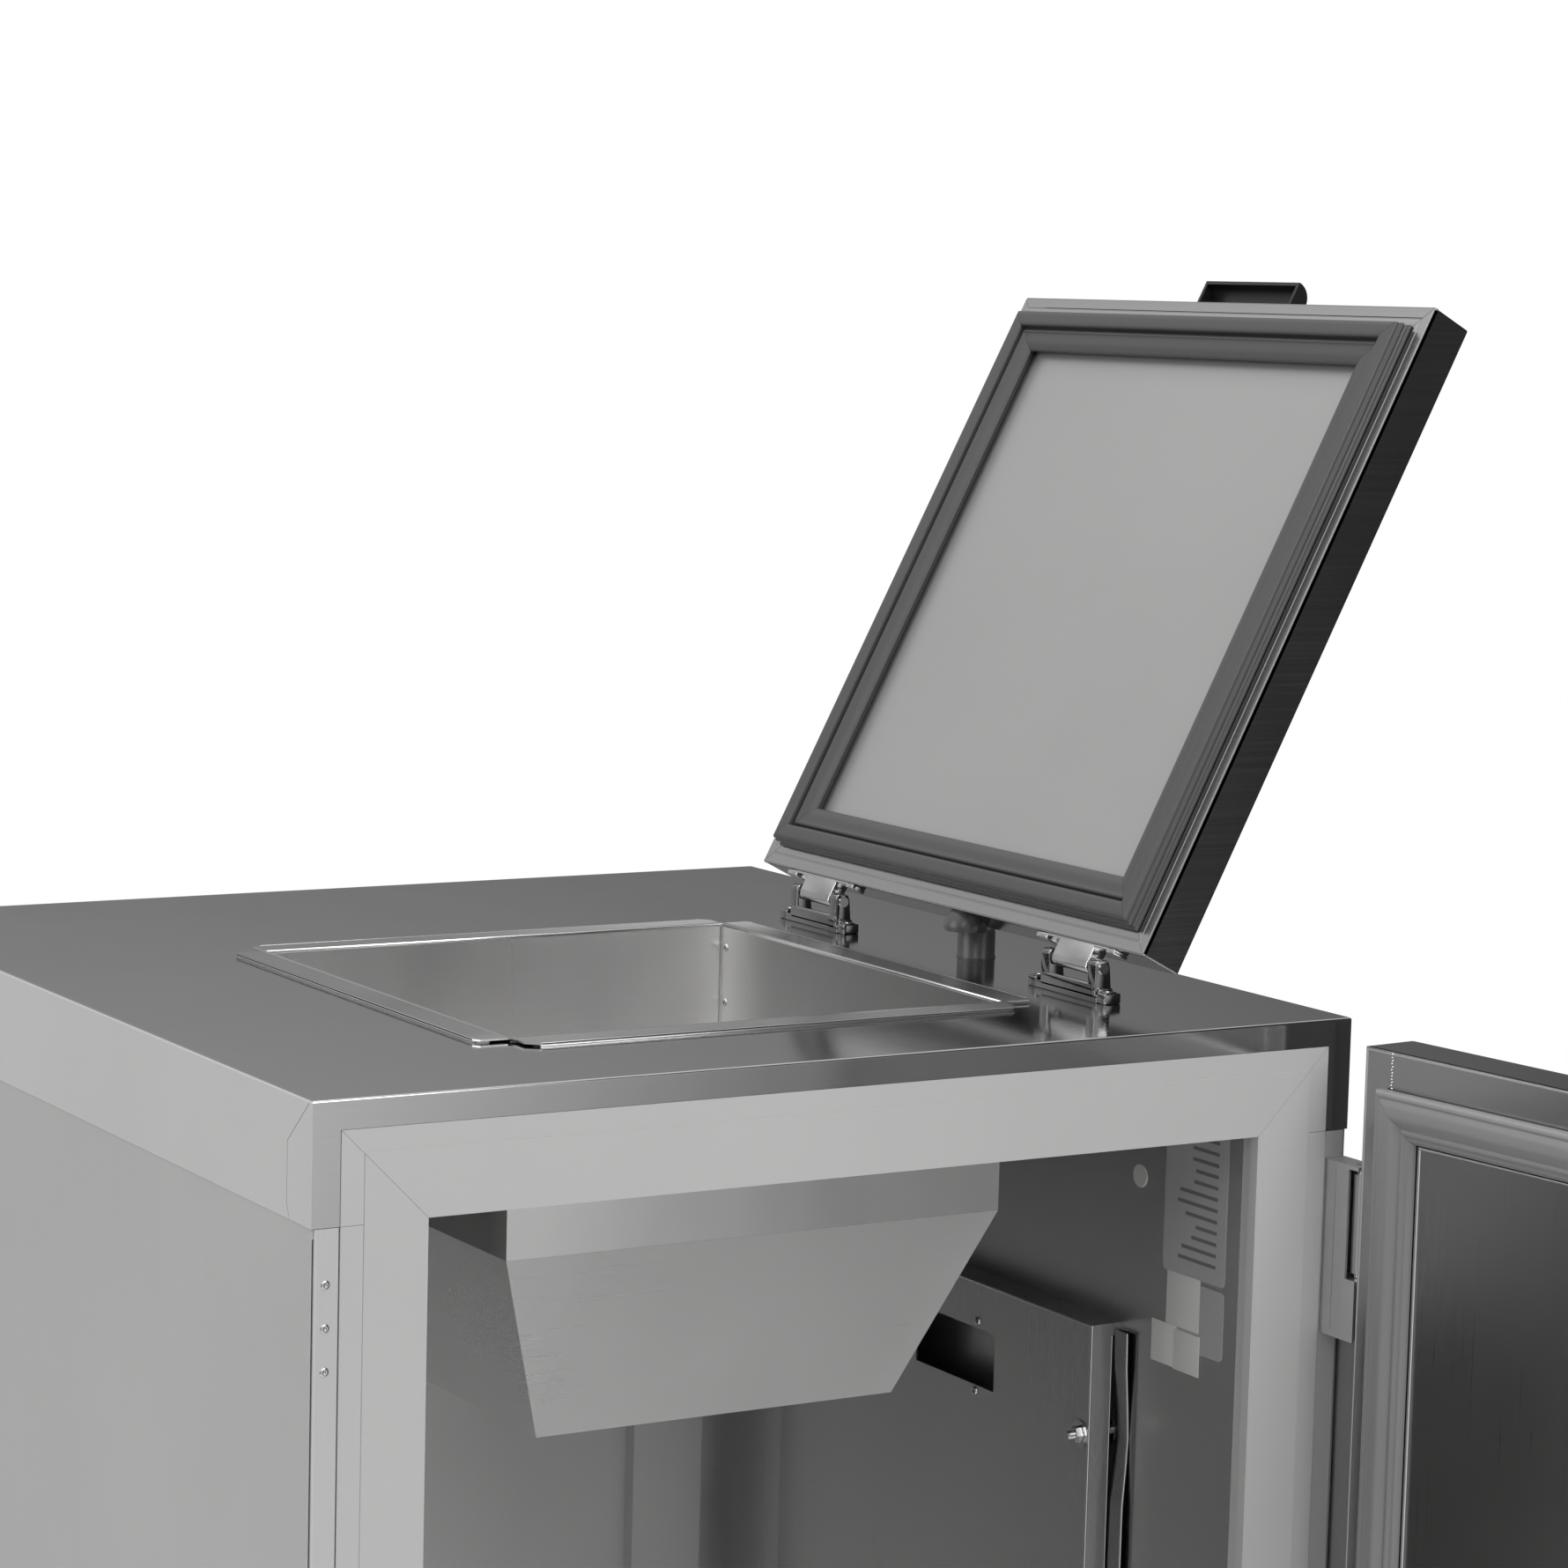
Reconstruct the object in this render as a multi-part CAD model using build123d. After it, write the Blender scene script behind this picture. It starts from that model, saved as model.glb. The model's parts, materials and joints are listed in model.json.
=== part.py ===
from build123d import *
import math
import os

# Refrigerated waste cabinet: a stainless cooler that hides a 120 litre wheelie bin.
# All positions below are measured in millimetres from the top front left corner of the
# cabinet: x to the right, y to the back, z up (so everything under the worktop is negative).
# publish() moves each finished piece to the shared frame: the origin in the middle of the
# footprint on the floor, +Z up, the front towards -Y.

os.makedirs("parts", exist_ok=True)

# ---------------------------------------------------------------- driving dimensions
CAB_W = 700.0           # width over the side panels
CAB_D = 737.0           # depth, front corner strips to back panel
CAB_H = 1250.0          # height, floor to worktop
FEET_H = 20.0           # clearance under the base
SHEET = 1.2             # stainless sheet
SKIN = 1.0              # thinner sheet of skins and liner
APRON = 69.8            # depth of the folded edge of the worktop

WALL = 65.0             # insulated side wall, skin to liner
REAR_LINER_Y = 587.0    # liner back wall
BULKHEAD_Y = 624.0      # front wall of the machine compartment
CEILING_Z = -60.0
FLOOR_Z = -(CAB_H - 62.0)
BASE_Z = -(CAB_H - FEET_H)

FRAME_INSET = 17.3      # door frame, from the cabinet edge
BAND = 13.7             # narrow outer band of the frame profile
FLAT = 38.4             # wide inner flat of the frame profile
SILL_FLAT = 24.0        # the sill is lower so that a bin rolls over it
MITRE_GAP = 0.12

CHUTE_X = (181.0, 522.0)
CHUTE_Y = (122.0, 472.0)
CHUTE_FOLD_Z = -129.5
CHUTE_END_Z = -251.6
CHUTE_TAPER = 46.0
RIM_W = 21.5

LID_X = (120.9, 573.4)  # lid when closed
LID_Y = (66.0, 528.0)
LID_Z = (15.3, 46.1)
LID_PIN = (586.5, 21.0)
LID_OPEN = 117.54       # degrees from closed to resting on the bumper
LID_HINGE_Y = (96.2, 407.7)
HINGE_LEN = 85.7

DOOR_X = (17.0, 680.0)  # door when closed
DOOR_Y = (-51.0, -12.0)
DOOR_Z = (-(CAB_H - 24.0), -10.0)
DOOR_PIN = (693.0, -26.0)
DOOR_OPEN = 95.5        # degrees from closed to the standing open position
DOOR_HINGE_Z = (-196.5, -1183.0)
DOOR_HINGE_H = 109.5

GASKET_W = 30.0


# ---------------------------------------------------------------- helpers
def slab(x0, x1, y0, y1, z0, z1):
    """Box between two corners."""
    box = Box(abs(x1 - x0), abs(y1 - y0), abs(z1 - z0))
    return Pos((x0 + x1) / 2, (y0 + y1) / 2, (z0 + z1) / 2) * box


def rod(x, y, z, radius, length, axis="Z"):
    """Cylinder that starts at the point and runs along the positive axis."""
    turn = {"Z": (0, 0, 0), "X": (0, 90, 0), "Y": (-90, 0, 0)}[axis]
    step = {"Z": (0, 0, length / 2), "X": (length / 2, 0, 0), "Y": (0, length / 2, 0)}[axis]
    return Pos(x + step[0], y + step[1], z + step[2]) * Rot(*turn) * Cylinder(radius, length)


def prism_y(points, y0, y1):
    """Polygon given as (x, z) pairs, stretched from y0 to y1."""
    face = make_face(Polyline([(x, y0, z) for x, z in points], close=True))
    return extrude(face, amount=y1 - y0, dir=(0, 1, 0))


def prism_z(points, z0, z1):
    """Polygon given as (x, y) pairs, stretched from z0 to z1."""
    face = make_face(Polyline([(x, y, z0) for x, y in points], close=True))
    return extrude(face, amount=z1 - z0, dir=(0, 0, 1))


def prism_x(points, x0, x1):
    """Polygon given as (y, z) pairs, stretched from x0 to x1."""
    face = make_face(Polyline([(x0, y, z) for y, z in points], close=True))
    return extrude(face, amount=x1 - x0, dir=(1, 0, 0))


def ring(outer, inner, low, high, across="Z"):
    """Rectangular frame; outer and inner are (a0, a1, b0, b1) in the frame's own plane."""
    if across == "Z":
        return slab(*outer, low, high) - slab(*inner, low - 1, high + 1)
    a0, a1, b0, b1 = outer
    c0, c1, d0, d1 = inner
    return slab(a0, a1, low, high, b0, b1) - slab(c0, c1, low - 1, high + 1, d0, d1)


def grow(rect, amount):
    """Rectangle (a0, a1, b0, b1) moved outwards on all four sides."""
    return (rect[0] - amount, rect[1] + amount, rect[2] - amount, rect[3] + amount)


def publish(name, shape):
    """Moves a piece from the corner datum to the shared frame and writes its file."""
    moved = Pos(-CAB_W / 2, -CAB_D / 2, CAB_H) * shape
    solids = moved.solids()
    result = solids[0] if len(solids) == 1 else Compound(children=list(solids))
    export_step(result, f"parts/{name}.step")


def open_lid(shape):
    """Turns a piece of the closed lid back onto the bumper."""
    axis = Axis((LID_PIN[0], 0, LID_PIN[1]), (0, 1, 0))
    return shape.rotate(axis, LID_OPEN)


def open_door(shape):
    """Turns a piece of the closed door to the standing open position."""
    axis = Axis((DOOR_PIN[0], DOOR_PIN[1], 0), (0, 0, 1))
    return shape.rotate(axis, DOOR_OPEN)


def pan_head(x, y, z, radius, height, axis, toward):
    """Low domed screw or rivet head standing on a face; toward is +1 or -1 along the axis."""
    low = height if toward < 0 else 0.0
    start = {"X": (x - low, y, z), "Y": (x, y - low, z), "Z": (x, y, z - low)}[axis]
    head = rod(*start, radius, height, axis)
    direction = {"X": Axis.X, "Y": Axis.Y, "Z": Axis.Z}[axis]
    rims = head.edges().filter_by(GeomType.CIRCLE).sort_by(direction)
    rim = rims[-1] if toward > 0 else rims[0]
    return fillet(rim, height * 0.6)


# ---------------------------------------------------------------- worktop
def build_top_cover():
    cover = slab(0, CAB_W, 0, CAB_D, -APRON, 0)
    cover = fillet(cover.edges().group_by(Axis.Z)[-1], 1.5)
    cover -= slab(SHEET, CAB_W - SHEET, SHEET, CAB_D - SHEET, -APRON - 1, -SHEET)
    # room for the door frame in the front apron
    cover -= slab(FRAME_INSET - 0.3, CAB_W - FRAME_INSET + 0.3, -1, SHEET + 1, -APRON - 1, -16.9)
    # hole for the chute
    cover -= slab(CHUTE_X[0] - 1.6, CHUTE_X[1] + 1.6, CHUTE_Y[0] - 1.6, CHUTE_Y[1] + 1.6, -5, 5)
    # seam of the corner tab folded round from the front, on both side aprons
    seam = [(4.0, -1.8), (31.5, -26.8), (31.7, -61.2), (27.9, -APRON)]
    for first, second in zip(seam, seam[1:]):
        run = math.hypot(second[0] - first[0], second[1] - first[1])
        tilt = math.degrees(math.atan2(second[1] - first[1], second[0] - first[0]))
        middle_y = (first[0] + second[0]) / 2
        middle_z = (first[1] + second[1]) / 2
        for x in (0, CAB_W):
            cover -= Pos(x, middle_y, middle_z) * Rot(tilt, 0, 0) * Box(1.0, run + 0.4, 0.5)
    return cover


def build_chute_throat():
    outer = (CHUTE_X[0] - SHEET, CHUTE_X[1] + SHEET, CHUTE_Y[0] - SHEET, CHUTE_Y[1] + SHEET)
    inner = (*CHUTE_X, *CHUTE_Y)
    throat = ring(outer, inner, CHUTE_FOLD_Z, 2.3)
    low, high = 1.3, 2.3
    x0, x1, y0, y1 = outer
    # four folded rims that stop short of each other at the corners
    throat += prism_z([(x0 + 1, y0 + 1), (x0 - RIM_W + 3, y0 + 1.5), (x0 - RIM_W, y0 + 6),
                       (x0 - RIM_W, y1 - 5), (x0 - RIM_W + 3, y1), (x0 + 1, y1)], low, high)
    throat += prism_z([(x1 - 1, y0), (x1 + RIM_W - 3, y0), (x1 + RIM_W, y0 + 5),
                       (x1 + RIM_W, y1 - 5), (x1 + RIM_W - 3, y1), (x1 - 1, y1)], low, high)
    throat += prism_z([(x0 + 1, y0 + 1), (x0 + 1, y0 - RIM_W + 6), (x0 + 8, y0 - RIM_W),
                       (x1 - 8, y0 - RIM_W), (x1 - 3, y0 - RIM_W + 6), (x1 - 1, y0 + 1)], low, high)
    throat += prism_z([(x0 + 1, y1 - 1), (x0 + 1, y1 + RIM_W - 3), (x0 + 5, y1 + RIM_W),
                       (x1 - 8, y1 + RIM_W), (x1 - 1, y1 + RIM_W - 6), (x1 - 1, y1 - 1)], low, high)
    # hem folded back under the outer edge of each rim
    for hem in (slab(x0 - RIM_W + 1.2, x0 - RIM_W + 12, y0 + 8, y1 - 8, 0.1, low + 0.2),
                slab(x1 + RIM_W - 12, x1 + RIM_W - 1.2, y0 + 8, y1 - 8, 0.1, low + 0.2),
                slab(x0 + 10, x1 - 10, y0 - RIM_W + 1.2, y0 - RIM_W + 12, 0.1, low + 0.2),
                slab(x0 + 10, x1 - 10, y1 + RIM_W - 12, y1 + RIM_W - 1.2, 0.1, low + 0.2)):
        throat += hem
    return throat


def loft_box(rect_high, z_high, rect_low, z_low):
    faces = []
    for rect, z in ((rect_high, z_high), (rect_low, z_low)):
        x0, x1, y0, y1 = rect
        corners = [(x0, y0, z), (x1, y0, z), (x1, y1, z), (x0, y1, z)]
        faces.append(make_face(Polyline(corners, close=True)))
    return loft(faces, ruled=True)


def build_chute_funnel():
    outer_high = (CHUTE_X[0] - SHEET, CHUTE_X[1] + SHEET, CHUTE_Y[0] - SHEET, CHUTE_Y[1] + SHEET)
    outer_low = grow(outer_high, -CHUTE_TAPER)
    z_high = CHUTE_FOLD_Z - 0.1
    funnel = loft_box(outer_high, z_high, outer_low, CHUTE_END_Z)
    funnel -= loft_box(grow(outer_high, -SHEET), z_high, grow(outer_low, -SHEET), CHUTE_END_Z)
    return funnel


# ---------------------------------------------------------------- cabinet body
def build_side_panel(side):
    panel = slab(0.6, 1.6, 1.8, CAB_D - 2.0, BASE_Z, -APRON - 0.4)
    panel += slab(1.3, 2.3, 1.8, CAB_D - 2.0, -APRON - 6, -8)
    return panel if side == "left" else panel.mirror(Plane.YZ.offset(CAB_W / 2))


def build_corner_strips():
    high = -APRON - 0.4
    strip = slab(2.4, FRAME_INSET - 0.7, 0.2, 1.4, BASE_Z, high)
    strip += slab(2.4, 3.6, 0.2, 18.0, BASE_Z, high)
    strip = fillet(strip.edges().filter_by(Axis.Z).sort_by(lambda e: e.center().X + e.center().Y)[0], 1.1)
    return Compound(children=[strip, strip.mirror(Plane.YZ.offset(CAB_W / 2))])


def build_blind_rivets():
    """Rivets of the left corner strip, top and bottom, and of the chute corners."""
    heads = []
    for z in (-101.0, -125.0, -149.0):
        heads.append(pan_head(9.0, 0.2, z, 2.6, 0.9, "Y", -1))
        heads.append(pan_head(9.0, 0.2, -CAB_H - z + 30.0, 2.6, 0.9, "Y", -1))
    for z in (-14.0, -52.0):
        heads.append(pan_head(CHUTE_X[1], 465.0, z, 2.6, 1.2, "X", -1))
        heads.append(pan_head(CHUTE_X[0], 129.0, z, 2.6, 1.2, "X", 1))
    return Compound(children=heads)


def frame_blank():
    """The door frame as one rectangular profile, before it is cut into mitred rails."""
    out = (FRAME_INSET, CAB_W - FRAME_INSET, -(CAB_H - 24.0), -17.1)
    step = (out[0] + BAND, out[1] - BAND, out[2] + 14.0, out[3] - BAND)
    hole = (step[0] + FLAT, step[1] - FLAT, step[2] + SILL_FLAT, step[3] - FLAT)
    blank = ring(out, grow(step, -4.0), -0.5, 6.0, "Y")
    blank += ring(step, hole, -1.3, 6.3, "Y")
    blank += ring(grow(hole, 8.0), grow(hole, 2.5), 6.0, 16.6, "Y")
    for x in (out[0], out[1]):
        blank -= slab(x - BAND, x + BAND, -2, 0.0, -APRON - 0.2, -APRON + 0.2) - slab(
            step[0], step[1], -3, 1, -APRON - 1, -APRON + 1)
    return blank, out, hole


def build_frame_rail(which):
    """One mitred rail; its ends are cut along lines from the outer corners to the opening."""
    blank, out, hole = frame_blank()
    x0, x1, z0, z1 = out
    a0, a1, b0, b1 = hole
    corners = {
        "top left": ((x0, z1), (a0, b1)),
        "top right": ((x1, z1), (a1, b1)),
        "bottom left": ((x0, z0), (a0, b0)),
        "bottom right": ((x1, z0), (a1, b0)),
    }
    ends = {
        "top": ("top left", "top right", (0, MITRE_GAP)),
        "bottom": ("bottom left", "bottom right", (0, -MITRE_GAP)),
        "left": ("top left", "bottom left", (-MITRE_GAP, 0)),
        "right": ("top right", "bottom right", (MITRE_GAP, 0)),
    }
    first, second, shift = ends[which]

    def along(key, amount):
        (cx, cz), (ix, iz) = corners[key]
        return cx + (ix - cx) * amount, cz + (iz - cz) * amount

    wedge = prism_y([along(first, -0.2), along(first, 1.2), along(second, 1.2), along(second, -0.2)], -20, 40)
    return blank & (Pos(shift[0], 0, shift[1]) * wedge)


def build_liner_wall(side):
    wall = slab(WALL - SKIN, WALL, 17.0, REAR_LINER_Y, FLOOR_Z, CEILING_Z)
    return wall if side == "left" else wall.mirror(Plane.YZ.offset(CAB_W / 2))


def build_ceiling():
    ceiling = slab(WALL - SKIN, CAB_W - WALL + SKIN, 17.0, REAR_LINER_Y + SKIN, CEILING_Z, CEILING_Z + SKIN)
    return ceiling - slab(CHUTE_X[0] - 1.6, CHUTE_X[1] + 1.6, CHUTE_Y[0] - 1.6, CHUTE_Y[1] + 1.6, -80, -40)


def build_floor_liner():
    floor = slab(WALL - SKIN, CAB_W - WALL + SKIN, 17.0, REAR_LINER_Y + SKIN, FLOOR_Z - SKIN, FLOOR_Z)
    return floor


def build_rear_liner():
    return slab(WALL - SKIN, CAB_W - WALL + SKIN, REAR_LINER_Y, REAR_LINER_Y + SKIN, FLOOR_Z, CEILING_Z)


def build_foam(which):
    """Insulation blocks between skin and liner."""
    left = 4.0
    side = slab(left, WALL - SKIN, 18.2, BULKHEAD_Y, FLOOR_Z - SKIN, CEILING_Z + SKIN)
    blocks = {
        "sides": Compound(children=[side, side.mirror(Plane.YZ.offset(CAB_W / 2))]),
        "rear": slab(WALL - SKIN, CAB_W - WALL + SKIN, REAR_LINER_Y + SKIN, BULKHEAD_Y, FLOOR_Z - SKIN,
                     CEILING_Z + SKIN),
        "floor": slab(left, CAB_W - left, 18.2, BULKHEAD_Y, BASE_Z + SHEET, FLOOR_Z - SKIN),
        "top": slab(left, CAB_W - left, 18.2, BULKHEAD_Y, CEILING_Z + SKIN, -SHEET),
    }
    block = blocks[which]
    if which == "top":
        block -= slab(CHUTE_X[0] - 1.6, CHUTE_X[1] + 1.6, CHUTE_Y[0] - 1.6, CHUTE_Y[1] + 1.6, -80, 5)
    return block


def build_base_pan():
    return slab(2.4, CAB_W - 2.4, 18.2, CAB_D - 3.4, BASE_Z, BASE_Z + SHEET)


def build_bulkhead():
    return slab(2.4, CAB_W - 2.4, BULKHEAD_Y, BULKHEAD_Y + SKIN, BASE_Z + SHEET, -SHEET)


def build_feet():
    feet = []
    for x in (55.0, CAB_W - 55.0):
        for y in (60.0, CAB_D - 60.0):
            foot = rod(x, y, -CAB_H, 22.0, 5.0) + rod(x, y, -CAB_H + 5.0, 14.0, FEET_H - 5.0)
            feet.append(fillet(foot.edges().filter_by(GeomType.CIRCLE).sort_by(Axis.Z)[0:1], 1.2))
    return Compound(children=feet)


# ---------------------------------------------------------------- cooling side wall
def build_evaporator_cover():
    x0, x1, y0, y1, z0, z1 = 612.0, 634.9, 141.0, 525.0, -860.0, -217.0
    cover = slab(x0, x1, y0, y1, z0, z1) - slab(x0 + SKIN, x1 + 1, y0 + SKIN, y1 - SKIN, z0 + SKIN, z1 - SKIN)
    # the front end stops short of the wall and leaves a slit for the clamp strip
    cover -= slab(628.5, x1 + 1, y0 - 1, y0 + 2, z0 + 12, z1 - 8)
    # air slot, and a row of return slots near the bottom
    cover -= slab(x0 - 1, x0 + 3, 252.0, 348.0, -287.0, -248.0)
    for row in range(5):
        z = -800.0 + row * 12.0
        cover -= slab(x0 - 1, x0 + 3, 200.0, 460.0, z, z + 5.0)
    cover -= rod(x0 - 1, 150.0, -290.0, 3.4, 3.0, "X")
    return cover


def build_clamp_strip():
    """Thin strip behind the front end of the cover, bowed where the bolt pulls it."""
    path = [(629.4, -221.0), (629.8, -245.0), (631.6, -270.0), (632.6, -290.0), (631.6, -310.0),
            (629.8, -335.0), (629.4, -420.0), (629.4, -848.0)]
    outline = path + [(x + 1.0, z) for x, z in reversed(path)]
    strip = prism_y(outline, 127.0, 140.6)
    strip += slab(633.9, 634.9, 122.0, 140.6, -848.0, -221.0)
    strip += slab(629.4, 634.9, 139.6, 140.6, -848.0, -440.0)
    return strip


def build_evaporator_coil():
    """Serpentine tube clipped to a plate behind the cover."""
    plate = slab(631.5, 632.5, 165.0, 500.0, -780.0, -300.0)
    tube = None
    rows = 12
    pitch = 38.0
    for row in range(rows):
        z = -320.0 - row * pitch
        run = rod(627.0, 190.0, z, 4.0, 285.0, "Y")
        tube = run if tube is None else tube + run
        if row < rows - 1:
            y = 475.0 if row % 2 == 0 else 190.0
            bend = rod(627.0, y, z - pitch, 4.0, pitch, "Z")
            tube += bend + Pos(627.0, y, z) * Sphere(4.0) + Pos(627.0, y, z - pitch) * Sphere(4.0)
    return plate + slab(630.0, 631.6, 330.0, 336.0, -760.0, -310.0) + tube


def build_cover_fasteners():
    """Bolt with nut and two washers at the front end, and two screws at the air slot."""
    y, z = 150.0, -290.0
    bolt = rod(601.5, y, z, 3.0, 33.2, "X")
    bolt = fillet(bolt.edges().filter_by(GeomType.CIRCLE).sort_by(Axis.X)[0], 1.0)
    nut = Pos(606.5, y, z) * Rot(0, 90, 0) * extrude(RegularPolygon(5.6, 6), amount=4.6)
    pieces = [bolt, nut - rod(605.0, y, z, 3.05, 10.0, "X")]
    for x in (611.2, 633.0):
        pieces.append(rod(x, y, z, 9.0, 0.7, "X") - rod(x - 1, y, z, 3.1, 3.0, "X"))
    for screw_y, screw_z in ((273.0, -243.3), (274.0, -291.0)):
        pieces.append(pan_head(612.0, screw_y, screw_z, 3.0, 2.0, "X", -1))
    return Compound(children=pieces)


def build_wall_plug():
    plug = rod(634.0, 125.5, -118.0, 7.6, 1.0, "X")
    return fillet(plug.edges().filter_by(GeomType.CIRCLE).sort_by(Axis.X)[0], 0.7)


def build_rating_plate():
    plate = slab(634.5, 635.0, 33.0, 98.0, -172.0, -64.0)
    return fillet(plate.edges().filter_by(Axis.X), 4.0)


def build_notice_plate():
    plate = slab(634.5, 635.0, 33.0, 84.0, -219.0, -175.0)
    return fillet(plate.edges().filter_by(Axis.X), 4.0)


def build_pipe_cover():
    outer = slab(519.0, 575.0, REAR_LINER_Y - 12.0, REAR_LINER_Y, FLOOR_Z + 0.5, CEILING_Z - 0.5)
    inner = slab(520.0, 574.0, REAR_LINER_Y - 11.0, REAR_LINER_Y + 1, FLOOR_Z - 1, CEILING_Z + 1)
    return outer - inner


# ---------------------------------------------------------------- machine compartment
MACHINE_FLOOR = BASE_Z + SHEET
FAN_CENTRE = (470.0, -(CAB_H - 165.0))
ROCKER_PIVOT = (CAB_D - 8.0, -145.5)


def build_compressor():
    body = slab(90.0, 240.0, 632.0, 730.0, MACHINE_FLOOR + 18, MACHINE_FLOOR + 160)
    body = fillet(body.edges().filter_by(Axis.Z), 46.0)
    body = fillet(body.edges().group_by(Axis.Z)[-1], 26.0)
    body = fillet(body.edges().group_by(Axis.Z)[0], 10.0)
    seam = slab(88.0, 242.0, 630.0, 732.0, MACHINE_FLOOR + 88, MACHINE_FLOOR + 92)
    seam = fillet(seam.edges().filter_by(Axis.Z), 47.0)
    body += seam
    body += slab(78.0, 252.0, 655.0, 708.0, MACHINE_FLOOR + 14, MACHINE_FLOOR + 20)
    for x in (88.0, 242.0):
        for y in (664.0, 699.0):
            body += rod(x, y, MACHINE_FLOOR, 8.0, 15.0)
    body += slab(228.0, 262.0, 660.0, 702.0, MACHINE_FLOOR + 55, MACHINE_FLOOR + 115)
    return body


def build_condenser():
    x0, x1 = FAN_CENTRE[0] - 130, FAN_CENTRE[0] + 130
    z0, z1 = FAN_CENTRE[1] - 125, FAN_CENTRE[1] + 125
    coil = slab(x0, x1, 632.0, 662.0, z0, z1)
    for row in range(1, 25):
        x = x0 + row * 10.4
        coil -= slab(x - 0.9, x + 0.9, 630.0, 640.0, z0 + 6, z1 - 6)
        coil -= slab(x - 0.9, x + 0.9, 654.0, 664.0, z0 + 6, z1 - 6)
    coil += slab(x0 - 2, x0, 630.0, 664.0, z0 - 2, z1 + 2) + slab(x1, x1 + 2, 630.0, 664.0, z0 - 2, z1 + 2)
    return coil


def build_fan_shroud():
    x, z = FAN_CENTRE
    plate = slab(x - 128, x + 128, 664.5, 666.0, z - 122, z + 122)
    plate -= rod(x, 660.0, z, 98.0, 20.0, "Y")
    plate += rod(x, 664.5, z, 101.0, 22.0, "Y") - rod(x, 660.0, z, 98.5, 40.0, "Y")
    return plate


def build_fan_motor():
    x, z = FAN_CENTRE
    motor = rod(x, 704.0, z, 27.0, 22.0, "Y")
    motor = fillet(motor.edges().filter_by(GeomType.CIRCLE), 3.0)
    motor += rod(x, 672.0, z, 3.0, 33.0, "Y")
    for angle in (45, 135, 225, 315):
        arm = Rot(0, angle, 0) * Pos(70.0, 0, 0) * Box(96.0, 3.0, 8.0)
        motor += Pos(x, 713.0, z) * arm
        foot_x = x + 116.0 * math.cos(math.radians(angle))
        foot_z = z + 116.0 * math.sin(math.radians(angle))
        motor += rod(foot_x, 666.0, foot_z, 4.0, 48.5, "Y")
    return motor


def build_fan():
    x, z = FAN_CENTRE
    hub = rod(x, 676.0, z, 26.0, 20.0, "Y") - rod(x, 670.0, z, 3.05, 40.0, "Y")
    fan = hub
    for blade in range(5):
        angle = 72.0 * blade
        leaf = Pos(56.0, 0, 0) * Rot(28, 0, 0) * Box(70.0, 2.0, 40.0)
        leaf = leaf & (Rot(90, 0, 0) * Cylinder(90.0, 60.0))
        fan += Pos(x, 686.0, z) * Rot(0, angle, 0) * leaf
    return fan - rod(x, 660.0, z, 3.05, 60.0, "Y")


def pipe(points, radius):
    """Pipe of straight runs parallel to the axes with ball corners."""
    line = None
    for first, second in zip(points, points[1:]):
        low = [min(a, b) for a, b in zip(first, second)]
        length = max(abs(a - b) for a, b in zip(first, second))
        axis = "XYZ"[[abs(a - b) > 0 for a, b in zip(first, second)].index(True)]
        run = rod(*low, radius, length, axis)
        line = run if line is None else line + run
    for corner in points[1:-1]:
        line += Pos(*corner) * Sphere(radius)
    return line


def build_pipework():
    """Discharge line to the condenser and suction line through the bulkhead."""
    top = MACHINE_FLOOR + 160.0
    discharge = pipe([(150, 681, top), (150, 681, top + 55), (320, 681, top + 55), (320, 647, top + 55),
                      (337.9, 647, top + 55)], 3.2)
    suction = pipe([(180, 672, top), (180, 672, top + 140), (180, 636, top + 140), (180, 636, top + 260),
                    (180, 625, top + 260)], 4.0)
    return Compound(children=[discharge, suction])


def build_rear_panel():
    panel = slab(2.4, CAB_W - 2.4, CAB_D - 3.3, CAB_D - 2.1, -760.0, -8.0)
    # openings for the switch, the thermostat and the mains inlet
    panel -= slab(95.0, 117.0, CAB_D - 6, CAB_D, -160.0, -131.0)
    panel -= rod(170.0, CAB_D - 6, -145.5, 5.0, 8.0, "Y")
    return panel


def build_rear_grille():
    grille = slab(2.4, CAB_W - 2.4, CAB_D - 3.3, CAB_D - 2.1, BASE_Z, -761.0)
    for column in range(3):
        for row in range(16):
            x = 345.0 + column * 90.0
            z = BASE_Z + 50.0 + row * 15.0
            grille -= slab(x, x + 72.0, CAB_D - 6, CAB_D, z, z + 6.0)
    for row in range(8):
        z = BASE_Z + 50.0 + row * 15.0
        grille -= slab(100.0, 220.0, CAB_D - 6, CAB_D, z, z + 6.0)
    grille -= rod(60.0, CAB_D - 6, -1100.0, 8.0, 8.0, "Y")
    return grille


def build_mains_inlet():
    inlet = rod(60.0, CAB_D - 14.0, -1100.0, 7.8, 14.0, "Y")
    inlet += rod(60.0, CAB_D - 2.0, -1100.0, 12.0, 6.0, "Y")
    return inlet - rod(60.0, CAB_D - 16.0, -1100.0, 4.0, 30.0, "Y")


def build_switch_frame():
    frame = slab(93.0, 119.0, CAB_D - 2.0, CAB_D - 0.2, -162.0, -129.0)
    frame += slab(95.3, 116.7, CAB_D - 20.0, CAB_D - 2.0, -159.7, -131.3)
    frame -= slab(97.3, 114.7, CAB_D - 18.0, CAB_D + 1, -157.7, -133.3)
    # bearing for the pivot of the rocker
    return frame - rod(95.9, ROCKER_PIVOT[0], ROCKER_PIVOT[1], 1.45, 20.2, "X")


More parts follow.
